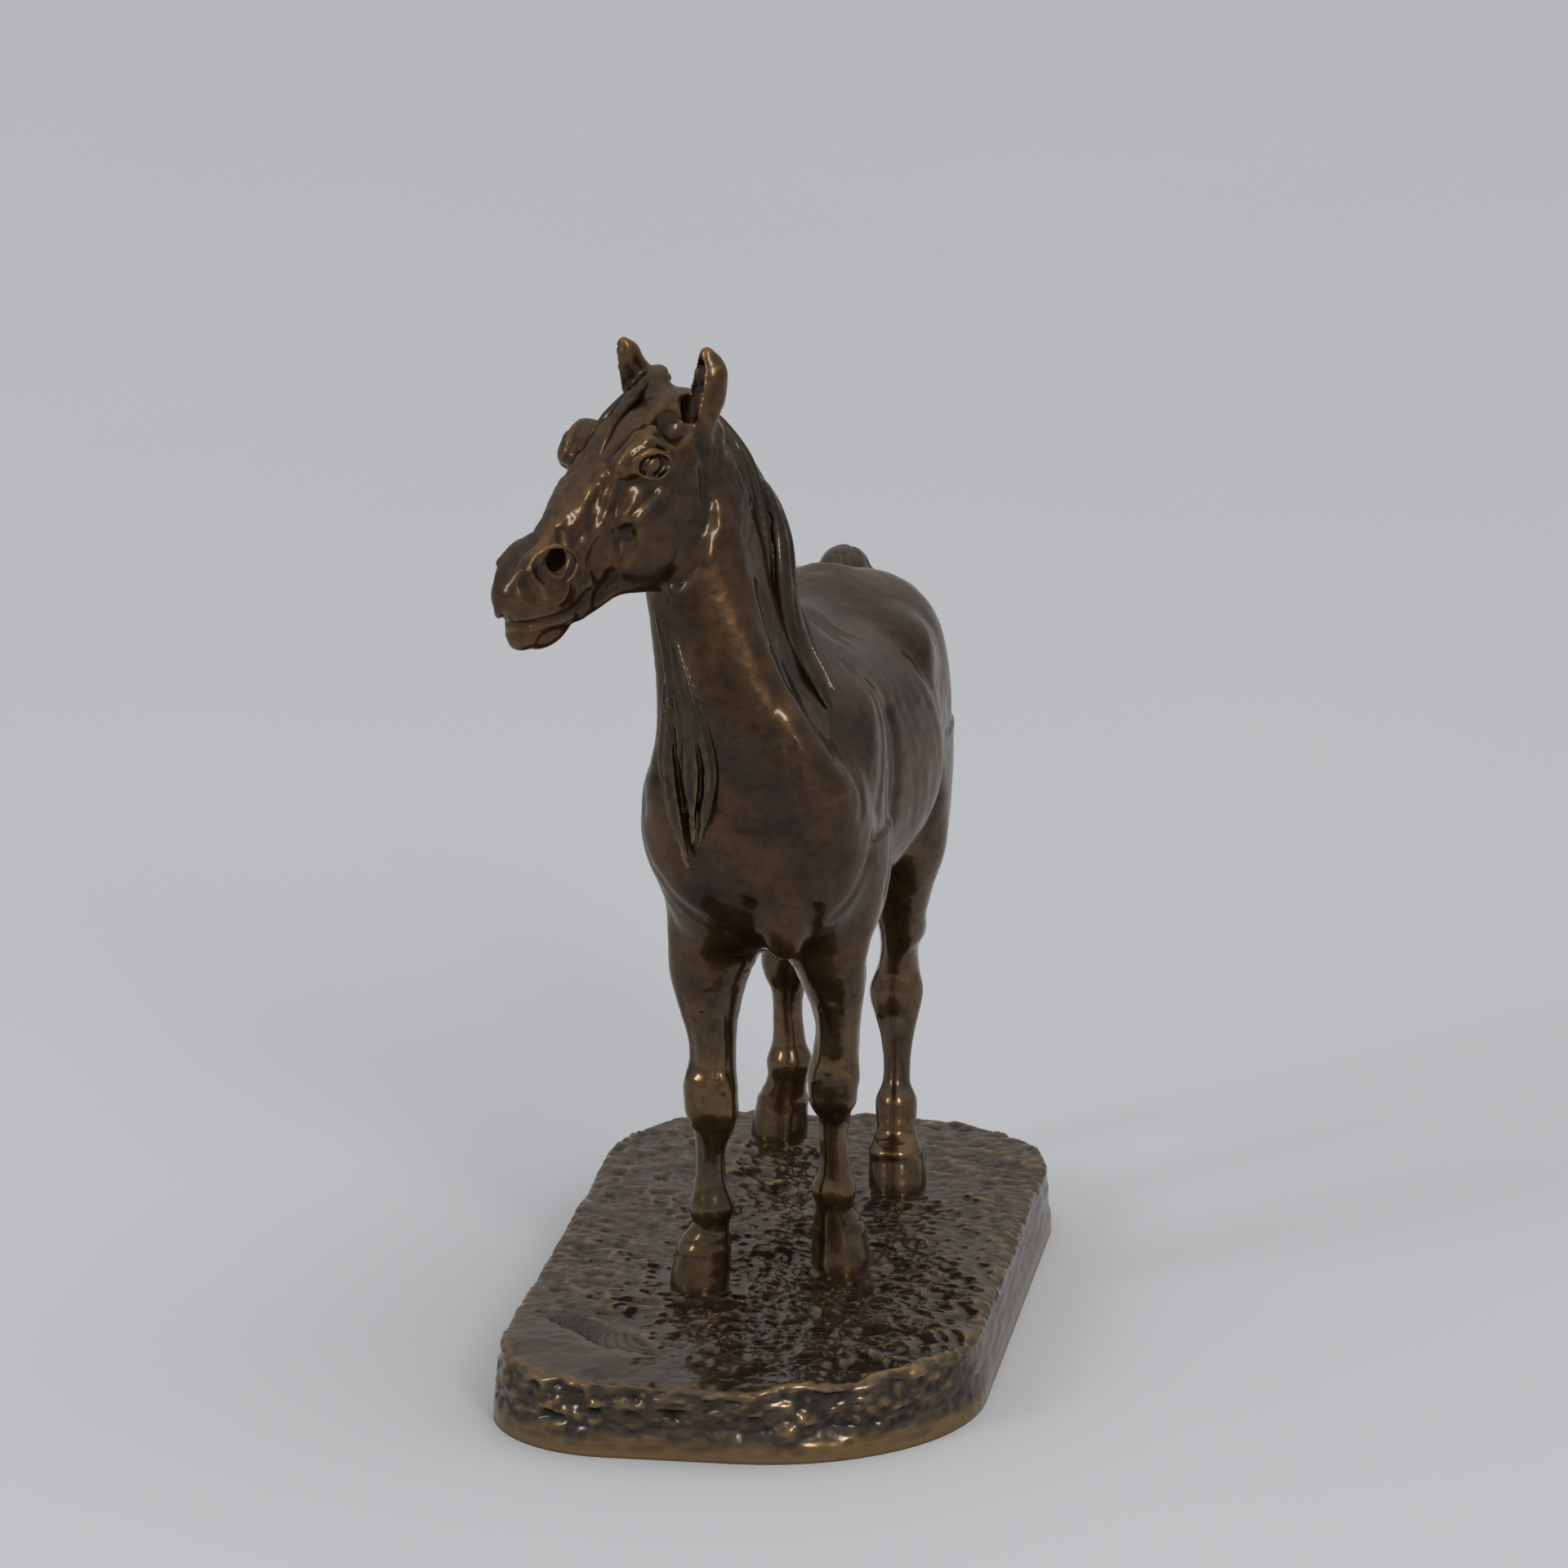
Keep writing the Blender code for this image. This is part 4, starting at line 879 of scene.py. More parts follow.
def shape_leg(wax, rows, fore):
    """One leg with its joints and sinews. Heights are where they are on every leg."""
    rows = np.array(rows, float)
    up = rows[::-1]

    def spot(z, across=0.0, along=0.0):
        """A point in the leg: its middle at this height, then shares of its half widths."""
        x, half, y, depth = (float(glide(np.array([z]), up[:, 0], up[:, k])[0]) for k in range(1, 5))
        return (x + across * half, y + along * depth, z)

    wax.column(rows, 7.0, square=2.15, ends=0.5)
    side = 1 if rows[0][1] > 0 else -1
    if fore:
        wax.cord(
            [
                spot(92, side * 0.45, -0.35),
                spot(82, side * 0.42, -0.5),
                spot(73, side * 0.34, -0.5),
                spot(63, side * 0.2, -0.4),
            ],
            [4.4, 4.4, 3.4, 2.0],
            3,
        )
        wax.cord(
            [spot(88, -side * 0.3, 0.2), spot(80, -side * 0.35, 0.1), spot(71, -side * 0.3, 0.1)],
            [4.2, 4.0, 2.6],
            3,
        )
        # knee: front bones with the small bone behind
        wax.mass(spot(54.5, 0, -0.35), (4.5, 3.6, 4.4), 2.5)
        wax.mass(spot(50.0, 0, -0.35), (4.2, 3.2, 2.8), 2.5)
        wax.mass(spot(53.5, 0, 0.75), (2.2, 2.2, 3.6), 2.0)
    else:
        wax.cord(
            [
                spot(96, side * 0.3, -0.55),
                spot(86, side * 0.35, -0.45),
                spot(76, side * 0.3, -0.35),
                spot(66, side * 0.2, -0.3),
            ],
            [6.0, 5.2, 4.0, 2.4],
            3,
        )
        wax.cord(
            [spot(88, 0, 0.5), spot(76, 0, 0.62), spot(66, 0, 0.75), spot(58, 0, 1.05)],
            [4.6, 3.4, 2.2, 2.0],
            2.5,
        )
        # hock: its point behind, its drum in front
        wax.mass(spot(57.0, 0, 1.02), (2.3, 2.4, 3.2), 2.0)
        wax.mass(spot(51.5, 0, -0.2), (4.6, 4.2, 4.6), 2.5)
    # sinews behind the cannon bone, fetlock with its tuft, pastern
    wax.cord([spot(47, 0, 0.72), spot(40, 0, 0.8), spot(34, 0, 0.78)], [1.7, 1.5, 1.7], 1.2)
    wax.mass(spot(29.4, 0, 0.55), (3.0, 2.6, 2.6), 2.0)
    wax.mass(spot(30.2, 0, -0.2), (3.9, 3.9, 3.0), 2.0)
    for edge in (-1, 1):
        wax.stroke(
            [spot(46, edge * 0.9, 0.35), spot(40, edge * 0.95, 0.35), spot(33, edge * 0.9, 0.35)],
            0.8,
            0.42,
        )
        wax.stroke(
            [spot(57, edge * 0.6, -0.8), spot(53, edge * 0.75, -0.75), spot(48, edge * 0.6, -0.75)],
            1.0,
            -0.28,
        )
    if fore:
        wax.stroke(
            [spot(72, side * 0.1, -1.0), spot(65, side * 0.1, -1.0), spot(57.5, -side * 0.15, -1.0)],
            1.0,
            -0.45,
        )
        wax.stroke(
            [spot(70, -side * 0.5, -0.9), spot(63, -side * 0.55, -0.9), spot(55.5, -side * 0.6, -0.9)],
            0.9,
            -0.4,
        )
        wax.stroke(
            [spot(74, side * 0.6, -0.8), spot(66, side * 0.65, -0.8), spot(58, side * 0.75, -0.7)],
            1.0,
            0.35,
        )


def shape_hoof(wax, x, y, lean):
    """Hoof wall, wider at the ground, with the band where it meets the skin. The toe faces -Y,
    and lean is how far its top stands inwards of its middle."""
    rows = []
    for z, half, depth, back in (
        (13.4, 5.7, 6.6, 0.0),
        (15.2, 5.65, 6.5, 0.1),
        (17.6, 5.4, 6.1, 0.4),
        (20.0, 5.1, 5.6, 0.7),
        (21.6, 4.9, 5.2, 0.8),
        (23.4, 3.9, 4.2, 0.8),
    ):
        rows.append((z, x + lean * (z - 14) / 8, half, y + back, depth))
    wax.column(rows, 2.2, square=2.3, ends=0.6)
    top = x + lean * 0.9
    wax.cord(
        [
            (top - 4.2, y + 0.4, 21.2),
            (top - 2.4, y - 3.4, 21.7),
            (top + 2.4, y - 3.4, 21.7),
            (top + 4.2, y + 0.4, 21.2),
        ],
        [0.7, 0.8, 0.8, 0.7],
        1.2,
    )
    wax.mass((x, y + 5.0, 18.0), (4.0, 2.6, 3.6), 2.0)


def shape_folds(wax):
    """Folds and edges that the tool drew between the masses of the body."""
    # between the breast muscles, and each side of the keel
    wax.stroke([(1.6, -48.5, 96), (1.2, -47.0, 92.5), (1.2, -44.5, 89), (1.6, -40.0, 83)], 1.9, 0.85)
    wax.stroke([(12.6, -47.0, 96), (12.2, -46.0, 93), (11.8, -43.5, 89), (11.4, -39.0, 83)], 1.9, 0.8)
    wax.cord(
        [
            (8.4, -50.0, 133), (10.1, -50.4, 129), (11.8, -50.2, 126), (13.7, -49.2, 122.6),
            (15.4, -47.6, 119.4),
        ],
        [1.0, 1.5, 1.8, 2.3, 2.4],
        4,
    )
    wax.mass((7.4, -50.6, 123), (2.6, 2.6, 5.0), 3.0)
    wax.stroke([(9.0, -52.0, 129), (10.4, -52.4, 123), (12.0, -51.6, 117)], 1.1, 0.35)
    for left in (
        # behind the shoulder down to the elbow
        ((21.5, -6, 124), (22.0, -7, 112), (21.0, -10, 100), (18.5, -13, 90)),
        # flank in front of the thigh
        ((21.5, 24, 129), (24.5, 25, 118), (23.0, 26, 106), (19.0, 27, 95)),
    ):
        for path in both(left, 1.4):
            wax.stroke(path, 2.6, 0.9)
    # under the breast muscle, over the top of each forearm
    wax.stroke(
        [
            (-18.3, -40, 112), (-16.0, -43, 104), (-12.9, -44, 97.7), (-10.6, -44.5, 94.6),
            (-7.8, -44.5, 91.8), (-5.3, -44, 90.2),
        ],
        1.5,
        0.55,
    )
    wax.stroke([(22.2, -36, 104), (20.4, -39, 100.5), (18.4, -41, 97.6), (15.6, -43, 94.6)], 1.5, 0.5)
    for left in (
        # front edge of the shoulder blade
        ((13.5, -30, 138), (17.0, -38, 126), (19.0, -43, 114)),
        # between the thigh's two masses
        ((17.5, 64, 124), (21.0, 60, 112), (21.5, 56, 100), (19.5, 55, 90)),
        # ridge of the shoulder blade
        ((14.0, -14, 134), (18.5, -22, 122), (20.5, -30, 112)),
        ((19.5, -20, 116), (21.5, -22, 104), (20.0, -24, 94)),
    ):
        for path in both(left, 1.4):
            wax.stroke(path, 1.7, 0.55)
    # ribs, only felt
    for k in range(6):
        y = 2 + 5.2 * k
        for path in both([(21.5, y - 2, 124), (25.5, y, 112), (24.0, y + 2, 100)], 1.9):
            wax.stroke(path, 1.5, 0.06)
    wax.stroke([(1.6, 40, 142), (1.5, 52, 141.5), (1.4, 64, 136)], 2.2, 0.7)
    # jugular grooves, and the collar where the neck leaves the breast
    wax.stroke(
        [
            (-7.3, -46, 169.9), (-4.7, -46, 163.7), (-1.6, -46, 156.8), (1.5, -46, 151.4),
            (4.6, -46, 145.2), (7.6, -46, 139.9),
        ],
        2.0,
        0.45,
    )
    wax.stroke([(3.6, -40, 156), (5.6, -42.5, 147), (8.6, -44.5, 139), (12.6, -44.5, 132)], 1.8, 0.4)


def shape_body(wax):
    """Everything that runs across the joints, so that the castings meet at them."""
    shape_trunk(wax)
    shape_neck(wax)
    for rows, fore in (
        (FORELEG_RIGHT, True),
        (FORELEG_LEFT, True),
        (HINDLEG_LEFT, False),
        (HINDLEG_RIGHT, False),
    ):
        shape_leg(wax, rows, fore)
    shape_folds(wax)


def saw(obj, point, outward):
    """Cuts a casting square at a joint and closes the cut with a flat face."""
    bm = bmesh.new()
    bm.from_mesh(obj.data)
    everything = bm.verts[:] + bm.edges[:] + bm.faces[:]
    bmesh.ops.bisect_plane(
        bm,
        geom=everything,
        plane_co=Vector(point) * MM,
        plane_no=Vector(outward),
        clear_outer=True,
    )
    rim = [e for e in bm.edges if e.is_boundary]
    flat = bmesh.ops.holes_fill(bm, edges=rim, sides=0)["faces"]
    for face in flat:
        face.smooth = False
    for edge in rim:
        edge.smooth = False
    bm.to_mesh(obj.data)
    bm.free()


def biggest_piece(obj):
    """Drops any loose crumb that a cut has left."""
    bm = bmesh.new()
    bm.from_mesh(obj.data)
    left = set(bm.verts)
    groups = []
    while left:
        queue = [left.pop()]
        group = list(queue)
        while queue:
            for edge in queue.pop().link_edges:
                for vert in edge.verts:
                    if vert in left:
                        left.remove(vert)
                        queue.append(vert)
                        group.append(vert)
        groups.append(group)
    groups.sort(key=len)
    for group in groups[:-1]:
        bmesh.ops.delete(bm, geom=group, context="VERTS")
    bm.to_mesh(obj.data)
    bm.free()


def roughen(obj, marks, above=-99):
    """Moves the surface in and out by small lumps: each a size, a height in millimetres and
    a stretch. The lumps fade in over 8 mm above the given height."""
    points = read_points(obj.data)
    normals = np.empty(len(points) * 3, np.float32)
    obj.data.vertex_normals.foreach_get("vector", normals)
    push = sum(
        height * lumps(points * np.array(stretch), size, 20 + i)
        for i, (size, height, stretch) in enumerate(marks)
    )
    push = push * np.clip((points[:, 2] - above) / 8, 0, 1)
    points = points + normals.reshape(-1, 3) * push[:, None]
    obj.data.vertices.foreach_set("co", (points * MM).astype(np.float32).ravel())
    obj.data.update()


LEG_JOINT = 79.85
NECK_JOINT = (1.8, -28.4, 127.15)
NECK_UP = (0.0, -0.53, 0.848)
HAND_MARKS = ((5.5, 0.10, (1, 1, 1)), (2.2, 0.05, (1, 0.45, 1)), (1.1, 0.025, (1, 0.6, 1)))
chestnut = patinated_bronze(
    "chestnut patina and wax on cast bronze",
    "#120e0a",
    "#31251a",
    "#573d24",
    # gold of raised points: rubbed bronze and a painted highlight
    "#7c6038",
    0.26,
    13.0,
    0.03,
    0.4,
    # lighter colours and gloss towards the ground
    ("#483a2b", "#6e5636", "#9a7c4c", 0.15),
)

coarse = 1.0
wax = Wax((-29, -58, 73), (32, 81, 148), 0.56 * coarse)
shape_body(wax)
trunk = wax.skin("trunk_casting")
roughen(trunk, HAND_MARKS)
note_relief(trunk, 14)
saw(trunk, (0, 0, LEG_JOINT), (0, 0, -1))
saw(trunk, np.add(NECK_JOINT, np.multiply(NECK_UP, 0.03)), NECK_UP)
biggest_piece(trunk)
trunk.data.materials.append(chestnut)
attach(trunk, "root")
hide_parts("trunk")


# The neck and head: one hollow casting that laps into the trunk at a sloping joint. The
# wax head was built over the skull's forms, then veins, lids and nostrils were drawn and
# pinched. The ears were modelled apart and stuck on before casting.

POLL = np.array((-17.5, -42.0, 195.0))
FACE = np.array(((-0.501, -0.608, -0.616), (0.772, -0.636, 0.0), (-0.392, -0.476, 0.788)))


def on_head(*places):
    """Points given along the face from the poll, towards the left cheek, and out of the forehead."""
    return [tuple(POLL + np.array(place) @ FACE) for place in places]


def midline(t):
    """The muzzle is set a little to the left of the line from poll to brow."""
    return 1.8 * min(max((t - 27) / 13, 0), 1)


def pair(*places):
    """The same path on the left side of the head and on the right."""
    return on_head(*places), on_head(*[(t, 2 * midline(t) - u, w) for t, u, w in places])


def draw_both(wax, width, depth, *places):
    """Draws the same line on both sides of the head."""
    for path in pair(*places):
        wax.stroke(path, width, depth)


def head_mass(wax, place, radii, soft, dig=False):
    t, u, w = place
    for side in (u, 2 * midline(t) - u):
        wax.lump(on_head((t, side, w))[0], radii, soft, FACE, dig)


def shape_skull(wax):
    rows = (
        (-5.0, 4.6, -5.6, -16.0),
        (0.0, 7.0, -1.0, -18.0),
        (5.0, 8.6, 0.9, -20.5),
        (10.0, 9.4, 1.8, -23.0),
        (15.0, 9.5, 1.9, -24.0),
        (20.0, 8.8, 1.3, -23.6),
        (25.0, 7.4, 0.8, -22.4),
        (30.0, 6.3, 0.6, -20.2),
        (35.0, 5.2, 0.4, -18.2),
        (40.0, 4.9, 0.2, -17.0),
        (45.0, 4.8, 0.4, -16.2),
        (49.0, 4.6, 0.2, -14.4),
        (52.5, 3.8, -1.4, -11.6),
        (54.4, 2.2, -3.4, -9.2),
    )
    wax.beam([(t, midline(t), half, (top + low) / 2, (top - low) / 2) for t, half, top, low in rows], 3.0)
    # cheeks, the bone under the eye, brows, temples and the bump between the ears
    head_mass(wax, (20.2, 5.6, -14.6), (12.4, 5.2, 12.6), 1.6)
    head_mass(wax, (11.0, 6.2, -10.0), (8.0, 3.6, 8.4), 3.0)
    head_mass(wax, (6.0, 7.6, -2.4), (3.6, 2.4, 3.4), 2.5, dig=True)
    wax.lump(on_head((0.6, -3.2, -1.2))[0], (5.6, 3.2, 2.8), 2.5, FACE)
    for t, u, w in ((14.2, 7.6, -0.6), (15.6, -9.0, -1.0)):
        wax.lump(on_head((t, u, w))[0], (5.0, 2.8, 2.6), 2.2, FACE)
    for t, u, w in ((18.0, 7.0, -1.3), (18.6, -9.2, -3.0)):
        wax.lump(on_head((t, u, w))[0], (3.4, 2.4, 2.3), 2.0, FACE)
    # muzzle: upper lip, the soft nose over the nostrils, lower lip and chin
    head_mass(wax, (49.2, 2.8, -4.8), (4.4, 3.0, 4.6), 2.0)
    head_mass(wax, (44.6, 4.2, -0.4), (5.0, 2.0, 1.7), 1.6)
    head_mass(wax, (45.4, 5.2, -7.8), (5.4, 2.2, 3.4), 1.6)
    head_mass(wax, (51.4, 2.2, -11.6), (4.6, 3.0, 2.7), 1.6)
    head_mass(wax, (47.4, 2.4, -14.4), (5.4, 3.0, 3.0), 2.2)
    # hollows: before the eye, under the cheek bone, over the corner of the mouth
    head_mass(wax, (27.0, 9.2, -3.4), (6.6, 2.0, 2.6), 2.0, dig=True)
    head_mass(wax, (32.0, 8.8, -10.0), (6.4, 2.2, 3.2), 2.2, dig=True)
    head_mass(wax, (35.0, 8.4, -3.0), (4.6, 2.0, 2.4), 2.0, dig=True)
    # rims of the jaw
    for path in pair(
        (26.0, 5.8, -25.0), (29.0, 5.0, -22.6), (33.7, 4.4, -19.4), (38.0, 3.9, -18.2),
        (42.0, 3.6, -17.0),
    ):
        wax.cord(path, [1.4, 1.5, 1.4, 1.4, 1.3], 2.5)


def shape_eyes(wax):
    """An eyeball in its socket, with two thin lids, a soft brow fold and the bone below."""
    head_mass(wax, (15.4, 10.8, -3.6), (3.6, 1.5, 2.7), 1.2, dig=True)
    head_mass(wax, (15.3, 8.7, -3.6), (2.4, 2.3, 2.1), 0.3)
    for path in pair(
        (19.2, 9.2, -1.0), (17.2, 10.0, 0.2), (15.2, 10.7, 0.0), (13.4, 10.9, -1.5), (12.0, 10.3, -4.4),
        (11.8, 10.0, -6.4),
    ):
        wax.cord(path, [0.25, 0.5, 0.6, 0.6, 0.45, 0.25], 0.9)
    for path in pair(
        (19.0, 9.6, -1.6), (18.2, 10.2, -3.7), (16.8, 10.6, -5.7), (14.6, 10.6, -6.6),
        (12.4, 10.1, -6.8),
    ):
        wax.cord(path, [0.2, 0.4, 0.42, 0.4, 0.2], 0.9)
    draw_both(
        wax,
        0.9,
        -0.4,
        (20.0, 7.6, 0.8),
        (17.2, 8.3, 2.0),
        (14.3, 9.4, 2.0),
        (12.1, 10.4, 0.6),
        (10.4, 10.0, -3.0),
        (10.2, 10.0, -5.6),
    )
    draw_both(wax, 0.5, 0.3, (18.4, 8.9, 0.7), (15.4, 10.2, 1.0), (12.6, 10.7, -0.9), (11.0, 10.0, -4.0))
    draw_both(wax, 0.5, 0.25, (20.6, 7.0, 0.6), (17.8, 7.2, 3.0), (14.6, 8.2, 3.4))
    draw_both(wax, 0.6, 0.25, (19.4, 9.8, -4.8), (17.4, 10.6, -7.2), (14.4, 10.4, -8.0))
    draw_both(
        wax,
        0.55,
        -0.6,
        (24.2, 10.0, -8.7),
        (22.2, 10.6, -8.6),
        (20.2, 10.9, -8.5),
        (17.4, 11.0, -8.7),
    )
    draw_both(wax, 0.7, 0.35, (24.6, 9.6, -7.4), (21.6, 10.2, -7.2), (18.4, 10.6, -7.4))


def shape_muzzle(wax):
    # deep nostrils with a thin rim, and the wing that runs down in front of each
    head_mass(wax, (41.0, 8.0, -3.6), (3.3, 2.6, 2.7), 0.5, dig=True)
    head_mass(wax, (40.6, 5.6, -3.4), (2.3, 4.0, 2.0), 0.5, dig=True)
    near, far = pair(
        (46.9, 6.4, 0.6), (44.8, 6.3, 1.3), (42.4, 6.8, 1.1), (39.9, 7.3, -0.1), (38.2, 7.8, -2.9),
        (38.4, 8.0, -5.6), (41.0, 8.5, -6.6), (44.2, 8.3, -6.2),
    )
    wax.cord(near, [0.3, 0.4, 0.45, 0.42, 0.42, 0.4, 0.42, 0.25], 0.8)
    wax.stroke(far, 0.7, -0.5)
    draw_both(wax, 0.65, -0.7, (46.6, 6.5, 0.4), (46.9, 6.6, -1.8), (46.8, 6.8, -4.0), (47.6, 6.4, -6.0))
    draw_both(wax, 0.9, 0.5, (48.6, 5.4, -0.6), (49.0, 5.4, -3.2), (48.8, 5.8, -5.4))
    draw_both(wax, 0.8, 0.4, (45.0, 7.6, -1.0), (45.0, 7.8, -3.2), (44.2, 8.2, -5.0))
    # mouth, with a lip above and below it
    mouth = (
        (55.2, 0.4, -6.4), (54.6, 3.4, -6.9), (52.4, 5.4, -8.4), (49.2, 6.6, -10.4), (44.8, 6.0, -13.3),
        (41.4, 5.8, -14.4), (39.4, 6.1, -13.6),
    )
    draw_both(wax, 0.6, 1.2, *mouth)
    draw_both(wax, 0.8, -0.35, *[(t, u, w + 1.5) for t, u, w in mouth[:5]])
    draw_both(wax, 0.8, -0.45, *[(t, u, w - 1.5) for t, u, w in mouth[:5]])
    draw_both(wax, 1.0, -0.4, (39.6, 6.4, -12.0), (39.0, 6.2, -14.6), (40.4, 5.6, -16.2))
    draw_both(wax, 0.8, 0.4, (52.0, 4.0, -12.4), (48.4, 4.8, -14.4), (44.6, 4.6, -16.4))


def shape_veins(wax):
    """Tendons, veins and tool facets of the face."""
    for places, width, depth in (
        (((21.0, 6.4, 1.6), (27.0, 5.0, 0.8), (33.0, 4.2, 0.6), (38.6, 4.0, 0.6)), 1.3, -0.4),
        (((20.9, 7.9, -0.2), (22.9, 7.4, -3.2), (26.2, 7.9, -5.8), (28.4, 7.6, -8.6)), 0.5, 0.4),
        (
            (
                (21.5, 7.2, -0.8), (23.8, 6.4, -2.6), (27.0, 6.5, -4.3), (30.5, 6.5, -5.8),
                (33.6, 6.6, -6.5),
            ),
            0.8,
            -0.45,
        ),
        (((24.4, 5.8, -0.6), (28.4, 5.8, -2.4), (32.4, 5.8, -3.6), (36.0, 6.2, -4.6)), 0.7, 0.3),
        (((26.0, 5.0, 0.4), (29.6, 5.4, -0.6), (33.4, 5.0, -1.6)), 0.7, -0.35),
        (((36.0, 5.6, 0.4), (37.0, 6.6, -2.2), (36.8, 6.8, -5.6), (38.2, 7.2, -8.2)), 0.8, 0.35),
        (((30.4, 6.8, -9.6), (31.0, 6.5, -11.4), (33.1, 6.0, -12.8)), 0.9, -0.5),
        (((28.6, 7.6, -10.8), (30.0, 7.0, -13.4), (33.0, 6.2, -15.2)), 0.9, 0.3),
        (((36.6, 6.6, -10.8), (37.9, 6.5, -12.2), (37.6, 6.2, -14.0)), 0.7, -0.45),
        (((34.6, 6.4, -8.6), (36.4, 6.4, -10.6), (35.6, 6.2, -13.0)), 0.7, 0.35),
        (((42.0, 8.6, -8.4), (44.6, 7.8, -9.4), (46.6, 7.2, -8.6)), 0.6, -0.35),
        (((18.0, 6.0, 2.6), (21.4, 4.6, 1.6), (23.0, 5.6, 0.6)), 0.7, -0.4),
        (((19.6, 3.4, 2.0), (22.4, 2.6, 1.6), (24.6, 3.6, 1.0)), 0.6, 0.35),
        (((12.0, 4.0, 2.6), (8.0, 5.4, 2.0), (4.0, 5.8, 1.0)), 1.2, -0.3),
    ):
        draw_both(wax, width, depth, *places)
    # line where the cheek ends and the throat begins
    draw_both(
        wax,
        1.5,
        1.0,
        (5.0, 9.6, -9.4),
        (7.0, 10.4, -13.6),
        (9.2, 10.4, -16.8),
        (12.2, 10.4, -20.4),
        (15.6, 9.8, -23.4),
        (19.0, 8.6, -26.0),
        (23.0, 7.4, -27.4),
    )


EAR_WALL = 1.1


def shape_ears(wax):
    for places, widths, mouth in (
        (
            (
                (2.4, 6.8, -10.0), (-0.6, 7.0, -7.0), (-4.0, 7.3, -4.6), (-6.8, 7.6, -1.6),
                (-8.2, 7.6, 1.6),
            ),
            (2.3, 3.4, 3.7, 3.0, 1.0),
            (-0.84, -0.54, 0.05),
        ),
        (
            (
                (2.0, -8.4, -7.0), (0.6, -8.0, -3.0), (-0.6, -7.4, 1.0), (-1.6, -6.6, 5.0),
                (-2.3, -6.0, 8.0),
            ),
            (2.6, 3.4, 3.6, 2.7, 0.9),
            (-0.97, -0.2, 0.0),
        ),
    ):
        path, widths = bend(on_head(*places), widths, 6)
        wax.leaf(path, widths, EAR_WALL, np.array(mouth))


HEAD_MARKS = ((3.0, 0.22, (1, 1, 1)), (1.5, 0.13, (1, 1, 1)))
wax = Wax((-52, -82, 104), (26, -1, 207), 0.395 * coarse)
shape_body(wax)
shape_skull(wax)
shape_eyes(wax)
shape_muzzle(wax)
shape_veins(wax)
shape_ears(wax)
neck_and_head = wax.skin("neck_and_head_casting")
roughen(neck_and_head, HAND_MARKS)
roughen(neck_and_head, HEAD_MARKS, 163)
note_relief(neck_and_head, 22)
saw(neck_and_head, NECK_JOINT, [-part for part in NECK_UP])
biggest_piece(neck_and_head)
neck_and_head.data.materials.append(chestnut)
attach(neck_and_head, "root")
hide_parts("neck_and_head")


# The four legs: cast solid with their hooves, dowelled up into the trunk. Bone, knee,
# hock and sinew were pulled out of thin wax, so they are leaner than the body, and their
# finish turns lighter and glossier towards the ground.

LEGS = (
    ("right_foreleg", FORELEG_RIGHT, True, (-12.7, -26.2)),
    ("left_foreleg", FORELEG_LEFT, True, (12.9, -10.2)),
    ("left_hindleg", HINDLEG_LEFT, False, (17.0, 41.0)),
    ("right_hindleg", HINDLEG_RIGHT, False, (-11.9, 72.8)),
)
for name, rows, fore, (x, y) in LEGS:
    places = np.array(rows)
    places = places[places[:, 0] < 86]
    left, right = (places[:, 1] - places[:, 2]).min() - 5, (places[:, 1] + places[:, 2]).max() + 5
    front = min((places[:, 3] - places[:, 4]).min() - 4, y - 9)
    back = max((places[:, 3] + places[:, 4]).max() + 4, y + 9)
    wax = Wax((left, front, 12.5), (right, back, 85.0), 0.32 * coarse)
    shape_body(wax)
    shape_hoof(wax, x, y, -0.8 if x > 0 else 0.9)
    leg = wax.skin(name + "_casting")
    roughen(leg, HAND_MARKS)
    note_relief(leg, 22)
    saw(leg, (0, 0, LEG_JOINT), (0, 0, 1))
    biggest_piece(leg)
    leg.data.materials.append(chestnut)
    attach(leg, "root")
    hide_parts(name)


# The mane and forelock: separate castings soldered on. Each is a bundle of wax strings
# laid side by side, twisted as they fall, and drawn over with a comb. The mane falls on
# both sides of the neck, and the forelock is swept forward over the brow.


def lay_locks(name, locks, step, grooves):
    """Casts a bundle of locks. Each is a path with its thickness, and hairs are drawn along it."""
    points = np.concatenate([np.array(path, float) for path, _ in locks])
    reach = max(max(radii) for _, radii in locks) + 1.2
    wax = Wax(points.min(0) - reach, points.max(0) + reach, step * coarse)
    for path, radii in locks:
        wax.cord(path, radii, 0.6, bends=8)
    draw = np.random.default_rng(7)
    for path, radii in locks:
        for _ in range(grooves):
            turn = draw.uniform(0, 2 * math.pi)
            twist = draw.uniform(-0.7, 0.7)
            fine, sizes = bend(path, radii, 4)
            along = np.gradient(fine, axis=0)
            along /= np.linalg.norm(along, axis=1)[:, None]
            first = np.cross(along, (0.0, 1.0, 0.1))
            first /= np.linalg.norm(first, axis=1)[:, None]
            second = np.cross(along, first)
            angle = turn + twist * np.linspace(0, 1, len(fine))
            around = first * np.cos(angle)[:, None] + second * np.sin(angle)[:, None]
            hair = fine + around * (sizes * 0.98)[:, None]
            near = np.abs(wax.sample(hair)) < 0.8
            if near.sum() > 4:
                wax.stroke(hair[near][::2], 0.36, 0.36, bends=2)
    hair = wax.skin(name)
    biggest_piece(hair)
    note_relief(hair, 7)
    return hair


